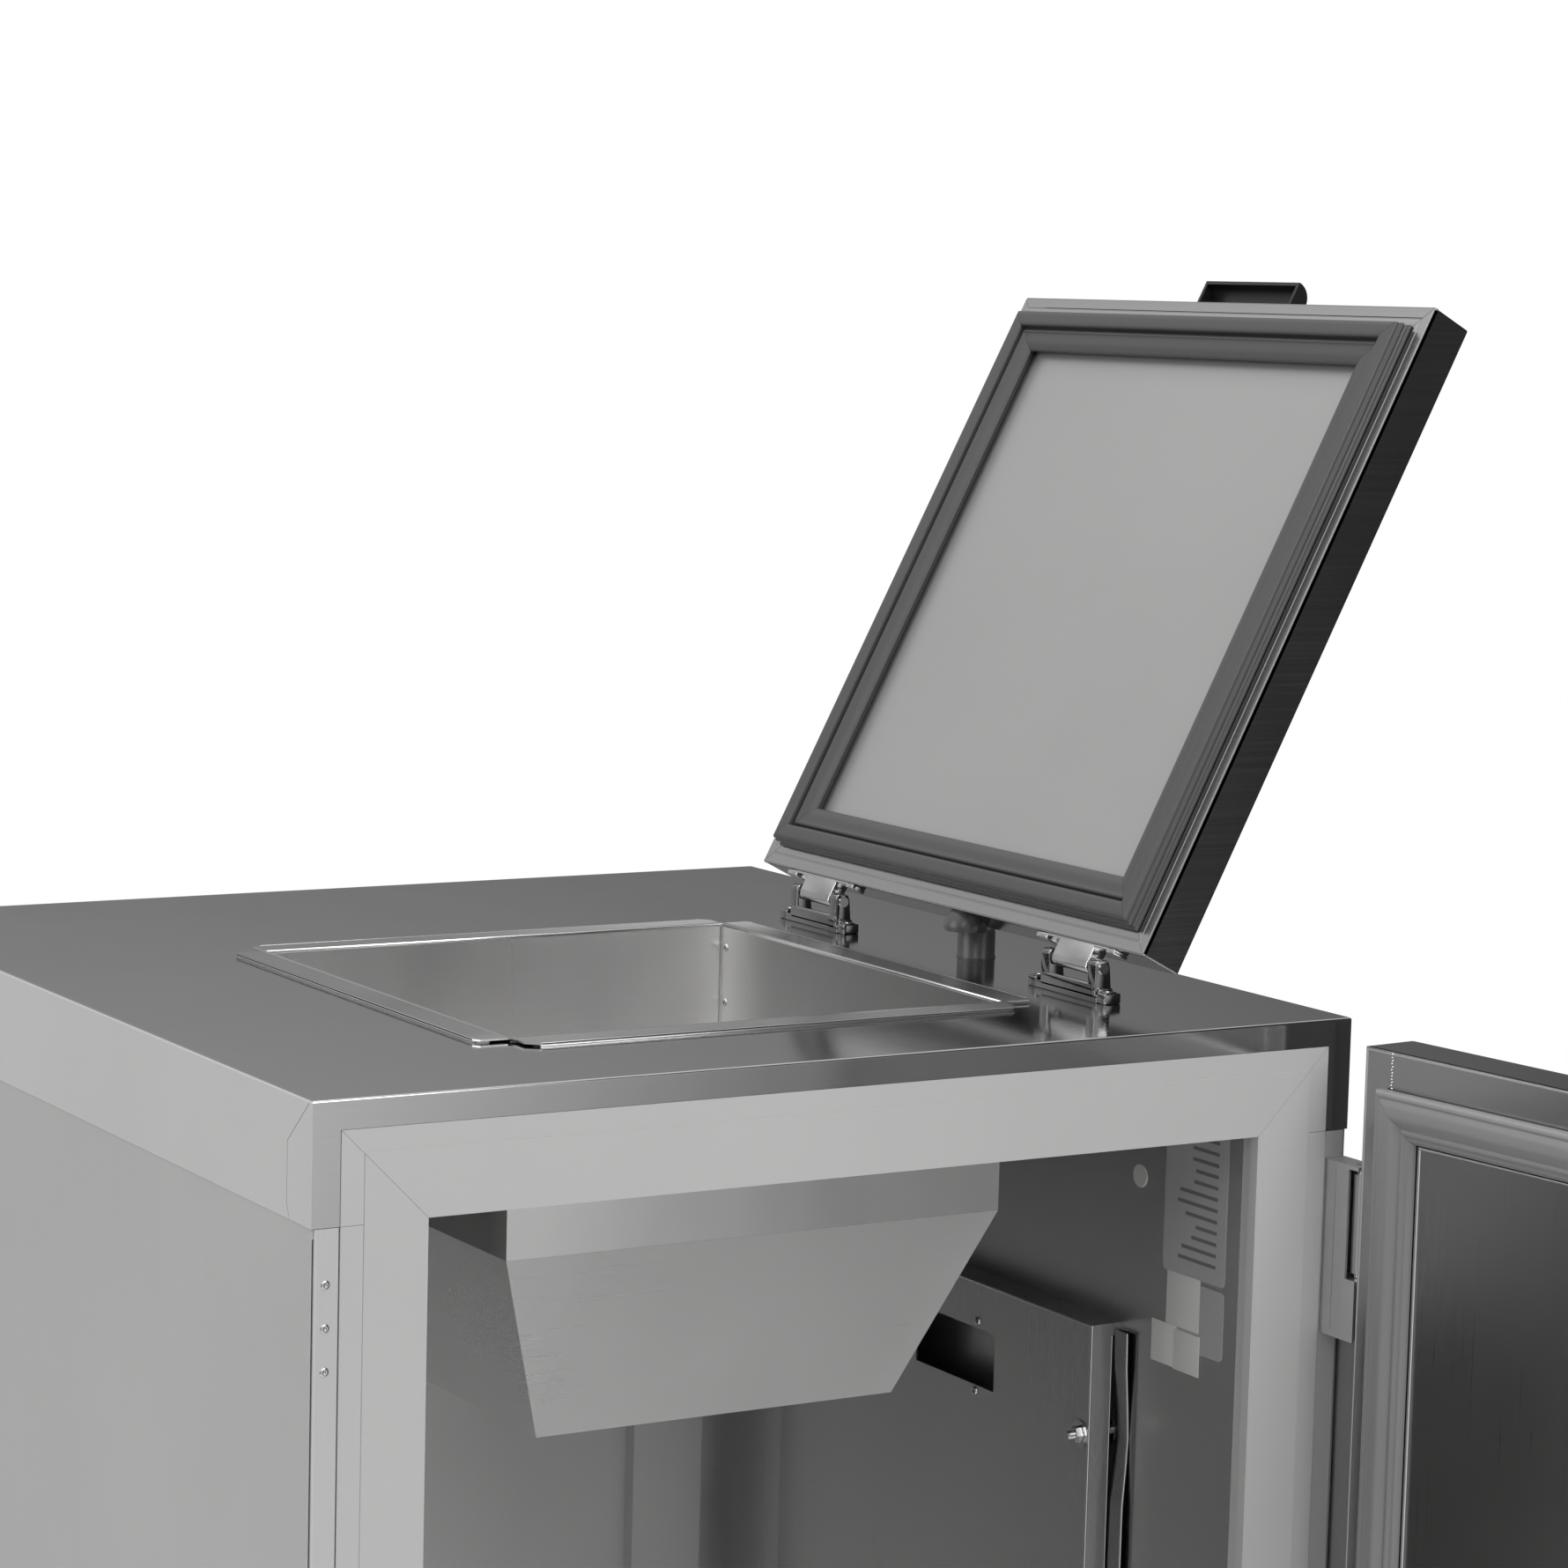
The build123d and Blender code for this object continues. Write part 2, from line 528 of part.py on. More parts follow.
def build_rocker():
    """Rocker that tips about its middle; shown pressed at the top."""
    rocker = prism_x([(CAB_D - 12.0, -151.0), (CAB_D - 12.0, -140.0), (CAB_D - 2.0, -134.4),
                      (CAB_D + 1.2, -136.0), (CAB_D - 1.0, -145.5), (CAB_D + 1.2, -155.0),
                      (CAB_D - 2.0, -156.6)], 97.9, 114.1)
    rocker += rod(96.0, ROCKER_PIVOT[0], ROCKER_PIVOT[1], 1.4, 20.0, "X")
    return rocker.rotate(Axis((0, *ROCKER_PIVOT), (1, 0, 0)), 6.0)


def build_control_housings():
    """Frame of the rocker switch, and the thermostat body with its spindle."""
    body = slab(145.0, 195.0, CAB_D - 30.0, CAB_D - 3.4, -170.0, -121.0)
    body += rod(170.0, CAB_D - 3.4, -145.5, 4.7, 3.0, "Y")
    return Compound(children=[build_switch_frame(), body])


def build_thermostat_knob():
    knob = rod(170.0, CAB_D - 1.2, -145.5, 16.0, 12.0, "Y")
    knob = fillet(knob.edges().filter_by(GeomType.CIRCLE).sort_by(Axis.Y)[-1], 2.0)
    knob += slab(168.0, 172.0, CAB_D + 10.0, CAB_D + 14.0, -158.0, -133.0)
    knob = knob - rod(170.0, CAB_D - 3.0, -145.5, 4.8, 3.0, "Y")
    return knob


# ---------------------------------------------------------------- lid hinges and bumper
def build_lid_hinge_base(y0):
    y1 = y0 + HINGE_LEN
    base = slab(581.0, 594.0, y0, y1, 0.05, 6.7)
    base = fillet(base.edges().filter_by(Axis.Z), 1.5)
    for ear_y in (y0 + 10.0, y0 + 62.0):
        ear = slab(581.0, 592.0, ear_y, ear_y + 9.3, 4.0, 25.7)
        base += fillet(ear.edges().filter_by(Axis.Y).group_by(Axis.Z)[-1], 1.5)
    base += slab(581.0, 583.0, y0 + 14.0, y0 + 66.0, 4.0, 11.6)
    base -= rod(LID_PIN[0], y0 - 1, LID_PIN[1], 2.55, HINGE_LEN + 2, "Y")
    return base


def build_lid_hinge_pin(y0):
    pin = rod(LID_PIN[0], y0 + 9.4, LID_PIN[1], 2.5, 63.0, "Y")
    pin += rod(LID_PIN[0], y0 + 8.4, LID_PIN[1], 3.4, 1.6, "Y")
    return pin


def build_lid_hinge_leaf(y0):
    """Leaf in the closed position: plate on the edge of the lid and a knuckle on the pin."""
    y1 = y0 + HINGE_LEN
    px, pz = LID_PIN
    wall = LID_X[1] + 0.05
    plate = slab(wall, wall + 4.2, y0 - 1.0, y1, LID_Z[0] + 0.2, LID_Z[0] + 24.0)
    plate = fillet(plate.edges().filter_by(Axis.X), 1.0)
    web = prism_y([(wall + 0.5, LID_Z[0] + 0.2), (px - 0.5, pz - 5.3), (px + 4.9, pz + 2.0), (px + 2.0, pz + 5.0),
                   (px - 3.0, pz + 5.2), (wall + 3.4, LID_Z[0] + 12.5), (wall + 0.5, LID_Z[0] + 12.5)],
                  y0 + 21.0, y0 + 60.0)
    leaf = plate + web + rod(px, y0 + 21.0, pz, 5.5, 39.0, "Y")
    # the plate stays clear of the ears beside the knuckle
    for notch_y in (y0 + 8.5, y0 + 60.5):
        leaf -= slab(wall + 4.3, wall + 20, notch_y, notch_y + 12.0, 0, 60)
    return leaf - rod(px, y0, pz, 2.56, HINGE_LEN, "Y")


def build_bumper_post():
    post = rod(614.0, 292.0, 0.05, 13.0, 19.95)
    return fillet(post.edges().filter_by(GeomType.CIRCLE).sort_by(Axis.Z)[-1], 2.0)


def build_lid_buffer():
    """Rubber buffer on the hinge edge of the lid, cut flat where it lands on the post."""
    middle_z = (LID_Z[0] + LID_Z[1]) / 2
    pad = rod(LID_X[1] + 0.05, 282.0, middle_z, 14.0, 16.0, "X")
    pad = open_lid(pad)
    pad -= slab(500.0, 700.0, 200.0, 400.0, -40.0, 20.3)
    return pad


# ---------------------------------------------------------------- lid
def build_lid_shell():
    x0, x1 = LID_X
    y0, y1 = LID_Y
    z0, z1 = LID_Z
    shell = slab(x0, x1, y0, y1, z0, z1)
    shell = fillet(shell.edges().filter_by(Axis.Z), 1.5)
    shell = fillet(shell.edges().group_by(Axis.Z)[-1], 1.5)
    shell -= slab(x0 + SKIN, x1 - SKIN, y0 + SKIN, y1 - SKIN, z0 + SKIN, z1 - SKIN)
    shell -= slab(x0 + 24, x1 - 24, y0 + 24, y1 - 24, z0 - 1, z0 + 3)
    return shell


def build_lid_foam():
    block = slab(LID_X[0] + SKIN, LID_X[1] - SKIN, LID_Y[0] + SKIN, LID_Y[1] - SKIN, LID_Z[0] + 2.2,
                 LID_Z[1] - SKIN)
    return block


def build_lid_inner_panel():
    rect = grow((*LID_X, *LID_Y), -20.0)
    panel = slab(*rect, LID_Z[0] + 1.05, LID_Z[0] + 2.15)
    return panel


def gasket_profile(rect, base, sign, high, across):
    """Magnetic gasket: foot, hollow-looking main bulb with two small ribs, and inner lip."""
    rings = (
        (0.0, GASKET_W, 0.0, 3.6),
        (2.0, 7.0, 3.0, high * 0.62),
        (8.5, 20.5, 3.0, high),
        (22.5, 28.5, 3.0, high * 0.5),
    )
    gasket = None
    for start, stop, low, top in rings:
        outer = grow(rect, -start)
        inner = grow(rect, -stop)
        a, b = base + sign * low, base + sign * top
        piece = ring(outer, inner, min(a, b), max(a, b), across)
        if top > 4.0:
            tip = Axis.Z if across == "Z" else Axis.Y
            ends = piece.edges().group_by(tip)
            radius = 1.4 if stop - start < 8 else 2.6
            piece = fillet(ends[-1] if sign > 0 else ends[0], radius)
        gasket = piece if gasket is None else gasket + piece
    return gasket


def build_lid_gasket():
    rect = grow((*LID_X, *LID_Y), -14.0)
    return gasket_profile(rect, LID_Z[0] - 0.02, -1, 12.7, "Z")


def build_lid_handle():
    """Ledge pull on the free edge of the lid, open underneath for the fingers."""
    z_low, z_high = LID_Z[0] + 18.5, LID_Z[1] - 0.1
    x_out = LID_X[0] - 26.0
    y0, y1 = 244.0, 349.0
    depth = z_high - z_low
    blank = slab(x_out, LID_X[0] - 0.05, y0, y1, z_low, z_high)
    blank = fillet(blank.edges().filter_by(Axis.Y).sort_by(lambda e: e.center().X - e.center().Z)[0], depth - 0.5)
    hollow = slab(x_out + 2.4, LID_X[0] - 3.0, y0 + 2.6, y1 - 2.6, z_low - 1, z_high - 2.4)
    hollow = fillet(hollow.edges().filter_by(Axis.Y).sort_by(lambda e: e.center().X - e.center().Z)[0], depth - 3.0)
    return blank - hollow


# ---------------------------------------------------------------- door
def build_door_shell():
    x0, x1 = DOOR_X
    y0, y1 = DOOR_Y
    z0, z1 = DOOR_Z
    shell = slab(x0, x1, y0, y1, z0, z1)
    shell = fillet(shell.edges().filter_by(Axis.Z).group_by(Axis.Y)[0], 2.0)
    shell -= slab(x0 + SKIN, x1 - SKIN, y0 + SKIN, y1 - SKIN, z0 + SKIN, z1 - SKIN)
    shell -= slab(x0 + 24, x1 - 24, y1 - 3, y1 + 1, z0 + 26, z1 - 26)
    # joints of the end caps on the inner border
    for x in (x0 + 22.5, x1 - 22.5):
        for z_low, z_high in ((z1 - 26.5, z1 + 1), (z0 - 1, z0 + 26.5)):
            shell -= slab(x - 0.25, x + 0.25, y1 - 0.5, y1 + 1, z_low, z_high)
    # pockets for the hinge leaves
    for z in DOOR_HINGE_Z:
        shell -= slab(x1 - 2.1, x1 + 1, -45.5, -17.5, z + 33.5, z + DOOR_HINGE_H - 1.5)
    return shell


def build_door_foam():
    x0, x1 = DOOR_X
    block = slab(x0 + SKIN, x1 - 4.0, DOOR_Y[0] + SKIN, DOOR_Y[1] - 2.2, DOOR_Z[0] + SKIN, DOOR_Z[1] - SKIN)
    return block


def build_door_inner_panel():
    x0, x1 = DOOR_X
    return slab(x0 + 20, x1 - 20, DOOR_Y[1] - 2.15, DOOR_Y[1] - 1.05, DOOR_Z[0] + 22, DOOR_Z[1] - 22)


def build_door_gasket():
    x0, x1 = DOOR_X
    rect = (x0 + 17.0, x1 - 17.0, DOOR_Z[0] + 23.0, DOOR_Z[1] - 23.0)
    return gasket_profile(rect, DOOR_Y[1] + 0.02, 1, 10.4, "Y")


def build_door_handle():
    """Cup pull let into the free edge side of the door front."""
    x0, x1 = DOOR_X[0] + 14.0, DOOR_X[0] + 40.0
    z0, z1 = -640.0, -480.0
    y_out = DOOR_Y[0] - 24.0
    blank = slab(x0, x1, y_out, DOOR_Y[0] - 0.05, z0, z1)
    blank = fillet(blank.edges().filter_by(Axis.Z).sort_by(lambda e: e.center().Y - e.center().X)[0], 20.0)
    blank -= slab(x0 - 1, x1 - 3.0, y_out + 3.0, DOOR_Y[0] - 3.0, z0 + 3.0, z1 - 3.0)
    return blank


def build_door_leaf(z0):
    """Hinge leaf in the closed position: plate in the door edge, web and knuckle."""
    low, high = z0 + 42.0, z0 + DOOR_HINGE_H - 5.5
    px, py = DOOR_PIN
    plate = slab(DOOR_X[1] - 2.05, DOOR_X[1] - 0.05, -45.0, -18.0, z0 + 34.0, z0 + DOOR_HINGE_H - 2.0)
    web = slab(DOOR_X[1] - 1.0, px, py - 4.6, py - 1.2, low, high)
    leaf = plate + web + rod(px, py, low, 5.4, high - low)
    # countersunk screw slots
    for z in (z0 + 48.0, z0 + 70.0, z0 + 92.0):
        leaf -= slab(DOOR_X[1] - 3, DOOR_X[1] + 1, -41.0, -36.5, z, z + 9.0)
    return leaf - rod(px, py, z0, 4.05, DOOR_HINGE_H)


def build_door_hinge_bracket(z0):
    """Sheet bracket standing forward of the cabinet, with the pin between its end plates."""
    z1 = z0 + DOOR_HINGE_H
    px, py = DOOR_PIN
    x0, x1 = 684.0, 698.8
    bracket = slab(x0, x0 + 1.5, -33.0, -1.5, z0, z1)
    bracket += slab(x0, x1, -33.0, -1.5, z1 - 2.0, z1)
    bracket += slab(x0, x1, -33.0, -1.5, z0, z0 + 2.0)
    bracket += slab(x0, x1, -33.0, -1.5, z0 + 36.0, z0 + 38.0)
    bracket += slab(x0, x1, -1.5, -0.1, z0, z1)
    # window for the leaf
    bracket -= slab(x0 - 1, x0 + 2, -40.0, -23.5, z0 + 38.5, z1 - 2.5)
    # crease of the face plate
    bracket -= slab(x0 - 0.6, x0 + 0.35, -11.3, -10.7, z0 + 4, z1 - 4)
    return bracket - rod(px, py, z0 - 1, 4.02, DOOR_HINGE_H + 2)


def build_door_hinge_pin(z0):
    return rod(DOOR_PIN[0], DOOR_PIN[1], z0 + 0.3, 4.0, DOOR_HINGE_H - 0.6)


def build_hinge_guard():
    """Full height angle that covers the gap behind the open door."""
    top = -87.2
    guard = slab(699.0, 700.0, -30.0, 1.4, BASE_Z + 4, top)
    # stiffening lip between the two hinges
    guard += slab(697.2, 699.1, -30.0, -28.8, DOOR_HINGE_Z[1] + DOOR_HINGE_H + 1, DOOR_HINGE_Z[0] - 1)
    return guard


# ---------------------------------------------------------------- write the pieces
publish("top_cover", build_top_cover())
publish("chute_throat", build_chute_throat())
publish("chute_funnel", build_chute_funnel())
publish("blind_rivets", build_blind_rivets())
for side in ("left", "right"):
    publish(f"side_panel_{side}", build_side_panel(side))
    publish(f"liner_{side}", build_liner_wall(side))
publish("corner_strips", build_corner_strips())
for rail in ("top", "bottom", "left", "right"):
    publish(f"frame_rail_{rail}", build_frame_rail(rail))
publish("liner_ceiling", build_ceiling())
publish("liner_floor", build_floor_liner())
publish("liner_rear", build_rear_liner())
for place in ("sides", "rear", "floor", "top"):
    publish(f"foam_{place}", build_foam(place))
publish("base_pan", build_base_pan())
publish("machine_bulkhead", build_bulkhead())
publish("feet", build_feet())

publish("evaporator_cover", build_evaporator_cover())
publish("evaporator_clamp_strip", build_clamp_strip())
publish("evaporator_coil", build_evaporator_coil())
publish("cover_fasteners", build_cover_fasteners())
publish("wall_plug", build_wall_plug())
publish("rating_plate", Compound(children=[build_rating_plate(), build_notice_plate()]))
publish("pipe_cover", build_pipe_cover())

publish("compressor", build_compressor())
publish("condenser", build_condenser())
publish("fan_shroud", build_fan_shroud())
publish("fan_motor", build_fan_motor())
publish("condenser_fan", build_fan())
publish("pipework", build_pipework())
publish("rear_panel", build_rear_panel())
publish("rear_grille", build_rear_grille())
publish("mains_inlet", build_mains_inlet())
publish("switch_rocker", build_rocker())
publish("control_housings", build_control_housings())
publish("thermostat_knob", build_thermostat_knob())

lid_hinges = [("front", LID_HINGE_Y[0]), ("rear", LID_HINGE_Y[1])]
publish("lid_hinge_bases", Compound(children=[build_lid_hinge_base(y) for _, y in lid_hinges]))
pins = [build_lid_hinge_pin(y) for _, y in lid_hinges] + [build_door_hinge_pin(z) for z in DOOR_HINGE_Z]
publish("hinge_pins", Compound(children=pins))
publish("lid_hinge_leaves", Compound(children=[open_lid(build_lid_hinge_leaf(y)) for _, y in lid_hinges]))
publish("bumper_post", build_bumper_post())
publish("lid_buffer", build_lid_buffer())
publish("lid_shell", open_lid(build_lid_shell()))
publish("lid_foam", open_lid(build_lid_foam()))
publish("lid_inner_panel", open_lid(build_lid_inner_panel()))
publish("lid_gasket", open_lid(build_lid_gasket()))
publish("lid_handle", open_lid(build_lid_handle()))

publish("door_shell", open_door(build_door_shell()))
publish("door_foam", open_door(build_door_foam()))
publish("door_inner_panel", open_door(build_door_inner_panel()))
publish("door_gasket", open_door(build_door_gasket()))
publish("door_handle", open_door(build_door_handle()))
door_leaves = [open_door(build_door_leaf(z)) for z in DOOR_HINGE_Z]
publish("door_hinge_leaves", Compound(children=door_leaves))
brackets = [build_door_hinge_bracket(z) for z in DOOR_HINGE_Z]
publish("door_hinge_brackets", Compound(children=brackets))
publish("hinge_guard", build_hinge_guard())
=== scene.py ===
import json
import math

import bmesh
import bpy
from mathutils import Matrix, Vector


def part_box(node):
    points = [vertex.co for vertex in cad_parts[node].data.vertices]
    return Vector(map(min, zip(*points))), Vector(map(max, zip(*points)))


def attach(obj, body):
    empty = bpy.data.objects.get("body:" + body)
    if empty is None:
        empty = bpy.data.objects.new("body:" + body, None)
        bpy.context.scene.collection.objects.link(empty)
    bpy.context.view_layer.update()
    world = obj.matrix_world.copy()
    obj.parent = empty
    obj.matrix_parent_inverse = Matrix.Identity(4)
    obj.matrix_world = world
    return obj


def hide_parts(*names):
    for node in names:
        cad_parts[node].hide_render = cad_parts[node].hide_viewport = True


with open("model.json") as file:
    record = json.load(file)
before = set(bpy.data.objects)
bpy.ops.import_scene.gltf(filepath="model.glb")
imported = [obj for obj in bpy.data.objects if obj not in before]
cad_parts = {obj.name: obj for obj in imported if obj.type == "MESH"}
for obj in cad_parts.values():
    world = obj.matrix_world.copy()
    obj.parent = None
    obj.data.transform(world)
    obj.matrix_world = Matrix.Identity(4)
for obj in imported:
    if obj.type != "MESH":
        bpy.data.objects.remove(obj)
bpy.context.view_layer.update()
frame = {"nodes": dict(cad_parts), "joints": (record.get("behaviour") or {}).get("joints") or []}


# ---------------------------------------------------------------- camera
CAMERA_PLACE = (-1.285, -2.420, 1.683)
CAMERA_HEADING = 30.80
CAMERA_PITCH = -6.52
CAMERA_ROLL = 1.46
CAMERA_LENS = 97.9


def turn_about(letter, angle):
    return Matrix.Rotation(math.radians(angle), 4, letter)


def place_camera():
    """A long lens at head height, turned to the front left corner of the worktop."""
    lens = bpy.data.cameras.new("camera")
    lens.sensor_width = 36.0
    lens.lens = CAMERA_LENS
    lens.clip_end = 100.0
    camera = bpy.data.objects.new("camera", lens)
    turn = turn_about("Z", -CAMERA_HEADING) @ turn_about("X", 90.0 + CAMERA_PITCH) @ turn_about("Z", CAMERA_ROLL)
    camera.matrix_world = Matrix.Translation(CAMERA_PLACE) @ turn
    bpy.context.scene.collection.objects.link(camera)
    bpy.context.scene.camera = camera


place_camera()


# ---------------------------------------------------------------- shader maths
class Wire:
    """One value on its way through a node tree; arithmetic on it adds Math nodes."""

    def __init__(self, recipe, socket):
        self.recipe = recipe
        self.socket = socket

    def _math(self, operation, first, second):
        return self.recipe.node("ShaderNodeMath", {"operation": operation}, {0: first, 1: second})

    def __add__(self, other):
        return self._math("ADD", self, other)

    def __radd__(self, other):
        return self._math("ADD", other, self)

    def __sub__(self, other):
        return self._math("SUBTRACT", self, other)

    def __rsub__(self, other):
        return self._math("SUBTRACT", other, self)

    def __mul__(self, other):
        return self._math("MULTIPLY", self, other)

    def __rmul__(self, other):
        return self._math("MULTIPLY", other, self)

    def __pow__(self, other):
        return self._math("POWER", self, other)

    def above(self, level):
        return self._math("GREATER_THAN", self, level)

    def clamped(self):
        return self.recipe.node("ShaderNodeClamp", {}, {"Value": self})


class Recipe:
    """A node tree under construction."""

    def __init__(self, tree):
        self.tree = tree
        tree.nodes.clear()

    def node(self, kind, settings=None, sockets=None, out=0):
        made = self.tree.nodes.new(kind)
        for name, value in (settings or {}).items():
            if name == "stops":
                ramp = made.color_ramp
                while len(ramp.elements) < len(value):
                    ramp.elements.new(1.0)
                for element, (position, shade) in zip(ramp.elements, value):
                    element.position = position
                    element.color = (shade, shade, shade, 1.0) if isinstance(shade, float) else (*shade, 1.0)
            else:
                setattr(made, name, value)
        for key, value in (sockets or {}).items():
            if isinstance(value, Wire):
                self.tree.links.new(value.socket, made.inputs[key])
            else:
                made.inputs[key].default_value = value
        return Wire(self, made.outputs[out])

    def end(self, kind, surface):
        self.tree.links.new(surface.socket, self.tree.nodes.new(kind).inputs["Surface"])

    def noise(self, place, scale, detail=3.0, stretch=(1.0, 1.0, 1.0), rough=0.5, shift=(0.0, 0.0, 0.0)):
        """Noise from 0 to 1 over the object's own coordinates."""
        off_axis = (0.5, 0.7, 0.3)
        moved = self.node(
            "ShaderNodeMapping", {},
            {"Vector": place, "Scale": stretch, "Rotation": off_axis, "Location": shift}
        )
        return self.node(
            "ShaderNodeTexNoise", {}, {"Vector": moved, "Scale": scale, "Detail": detail, "Roughness": rough}
        )

    def curve(self, value, stops):
        return self.node("ShaderNodeValToRGB", {"stops": stops}, {"Fac": value})

    def blend(self, amount, first, second):
        """Colour between two colours."""
        settings = {"data_type": "RGBA", "clamp_factor": True}
        return self.node("ShaderNodeMix", settings, {"Factor": amount, 6: first, 7: second}, out=2)

    def bump(self, height, distance, strength=1.0, after=None):
        sockets = {"Height": height, "Distance": distance, "Strength": strength}
        if after is not None:
            sockets["Normal"] = after
        return self.node("ShaderNodeBump", {}, sockets)


def new_material(name):
    material = bpy.data.materials.new(name)
    material.use_nodes = True
    return material, Recipe(material.node_tree)


def finish_with(recipe, sockets):
    """Ends a material in one Principled BSDF."""
    surface = recipe.node("ShaderNodeBsdfPrincipled", {}, sockets)
    recipe.end("ShaderNodeOutputMaterial", surface)


def grey(level, warm=0.0):
    return (level * (1 + warm), level, level * (1 - warm), 1.0)


def steel_sheet(name, shade, rough, grain, grain_depth=0.00002, smudge=0.10, metallic=1.0, spread=0.10):
    """Stainless sheet: fine rolled or brushed grain, cloudy handling marks and a few dull wipes."""
    material, recipe = new_material(name)
    place = recipe.node("ShaderNodeTexCoord", {}, {}, out="Object")
    fine = recipe.noise(place, 1.0, 2.0, grain, 0.6)
    long_streaks = recipe.noise(place, 1.0, 3.0, tuple(0.22 * g for g in grain), 0.5, (3.1, 1.7, 0.4))
    cloud = recipe.noise(place, 5.0, 3.0, (1.0, 1.0, 1.0), 0.55)
    wipes = recipe.noise(place, 14.0, 2.0, (1.0, 0.35, 0.35), 0.5, (0.7, 2.3, 1.1))
    tone = 1.0 - (spread * (fine - 0.5)) - (0.6 * spread * (long_streaks - 0.5)) + (0.08 * (cloud - 0.5))
    dull = rough + (0.12 * (fine - 0.5)) + (smudge * (cloud - 0.5)) + (0.08 * (wipes - 0.5))
    color = recipe.blend(tone * 0.5, (0.0, 0.0, 0.0, 1.0), grey(shade * 2.0, 0.004))
    relief = recipe.bump(fine, grain_depth, 0.6)
    waves = recipe.bump(cloud, 0.0006, 0.25, relief)
    finish_with(recipe, {"Base Color": color, "Metallic": metallic, "Roughness": dull, "Normal": waves})
    return material


def worktop_material():
    """Bright worktop sheet. The left skirt is duller and less metallic by choice, though it is the same sheet,
    and is painted paler: painted light on that face.
    """
    material, recipe = new_material("worktop_steel")
    place = recipe.node("ShaderNodeTexCoord", {}, {}, out="Object")
    across = recipe.node("ShaderNodeSeparateXYZ", {}, {"Vector": place}, out=0)
    skirt = (across * -1.0).above(-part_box("top_cover")[0].x - 0.0004)
    fine = recipe.noise(place, 1.0, 2.0, STEEL_ALONG_X, 0.6)
    cloud = recipe.noise(place, 5.0, 3.0, (1.0, 1.0, 1.0), 0.55)
    wipes = recipe.noise(place, 16.0, 3.0, (1.0, 0.3, 0.3), 0.6, (0.7, 2.3, 1.1))
    tone = 1.0 - (0.05 * (fine - 0.5)) + (0.06 * (cloud - 0.5)) + (0.05 * (wipes - 0.5))
    # skirt * 0.06 paints the left skirt paler: painted light, not a different finish.
    color = recipe.blend((tone + skirt * 0.06) * 0.5, (0.0, 0.0, 0.0, 1.0), grey(1.10, 0.004))
    dull = 0.11 + (0.05 * (fine - 0.5)) + (0.06 * (wipes - 0.5)) + (0.04 * (cloud - 0.5)) + 0.30 * skirt
    relief = recipe.bump(cloud, 0.0006, 0.22, recipe.bump(fine, 0.000004, 0.6))
    metallic = 1.0 - 0.5 * skirt
    finish_with(recipe, {"Base Color": color, "Metallic": metallic, "Roughness": dull, "Normal": relief})
    return material


def chute_material():
    """Throat sheet, painted brighter at the back corner and front in place of reflections it lacks."""
    material, recipe = new_material("chute_steel")
    place = recipe.node("ShaderNodeTexCoord", {}, {}, out="Object")
    across = recipe.node("ShaderNodeSeparateXYZ", {}, {"Vector": place}, out=0)
    along = recipe.node("ShaderNodeSeparateXYZ", {}, {"Vector": place}, out=1)
    low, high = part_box("chute_throat")

    def ramp(value, start, end):
        bounds = {"Value": value, "From Min": start, "From Max": end}
        return recipe.node("ShaderNodeMapRange", {"interpolation_type": "SMOOTHSTEP"}, bounds)

    to_right = ramp(across, low.x + 0.08, high.x - 0.01)
    to_back = ramp(along, high.y - 0.10, high.y - 0.02)
    from_front = ramp(along, low.y + 0.02, low.y + 0.05)
    corner = to_right * to_back
    fine = recipe.noise(place, 1.0, 2.0, STEEL_ALONG_X, 0.6)
    cloud = recipe.noise(place, 7.0, 3.0, (1.0, 1.0, 0.3), 0.55)
    tone = 0.60 + 0.50 * corner + 0.26 * (1.0 - from_front) + (0.05 * (fine - 0.5)) + (0.30 * (cloud - 0.5))
    color = recipe.blend((tone * 0.5).clamped(), (0.0, 0.0, 0.0, 1.0), grey(1.84, 0.004))
    dull = 0.24 + (0.10 * (cloud - 0.5)) + 0.10 * corner
    relief = recipe.bump(fine, 0.000006, 0.6)
    finish_with(recipe, {"Base Color": color, "Metallic": 1.0, "Roughness": dull, "Normal": relief})
    return material


def moulded(name, color, rough, pores=900.0, depth=0.00006, sheen=0.0, coat=0.0, wear=0.25):
    """Moulded plastic or rubber: a fine grained skin, slightly paler where hands and air reach."""
    material, recipe = new_material(name)
    place = recipe.node("ShaderNodeTexCoord", {}, {}, out="Object")
    skin = recipe.noise(place, pores, 3.0)
    cloud = recipe.noise(place, 22.0, 3.0)
    dust = recipe.noise(place, 160.0, 4.0, (1.0, 1.0, 1.0), 0.7)
    pale = tuple(min(1.0, c * (1.0 + wear) + 0.012 * wear) for c in color) + (1.0,)
    shade = recipe.blend((cloud * 0.6 + dust * 0.4).clamped(), (*color, 1.0), pale)
    dull = rough + (0.14 * (cloud - 0.5)) + (0.06 * (skin - 0.5))
    relief = recipe.bump(skin, depth, 0.5)
    finish_with(
        recipe,
        {"Base Color": shade, "Roughness": dull, "Normal": relief, "Sheen Weight": sheen, "Coat Weight": coat},
    )
    return material


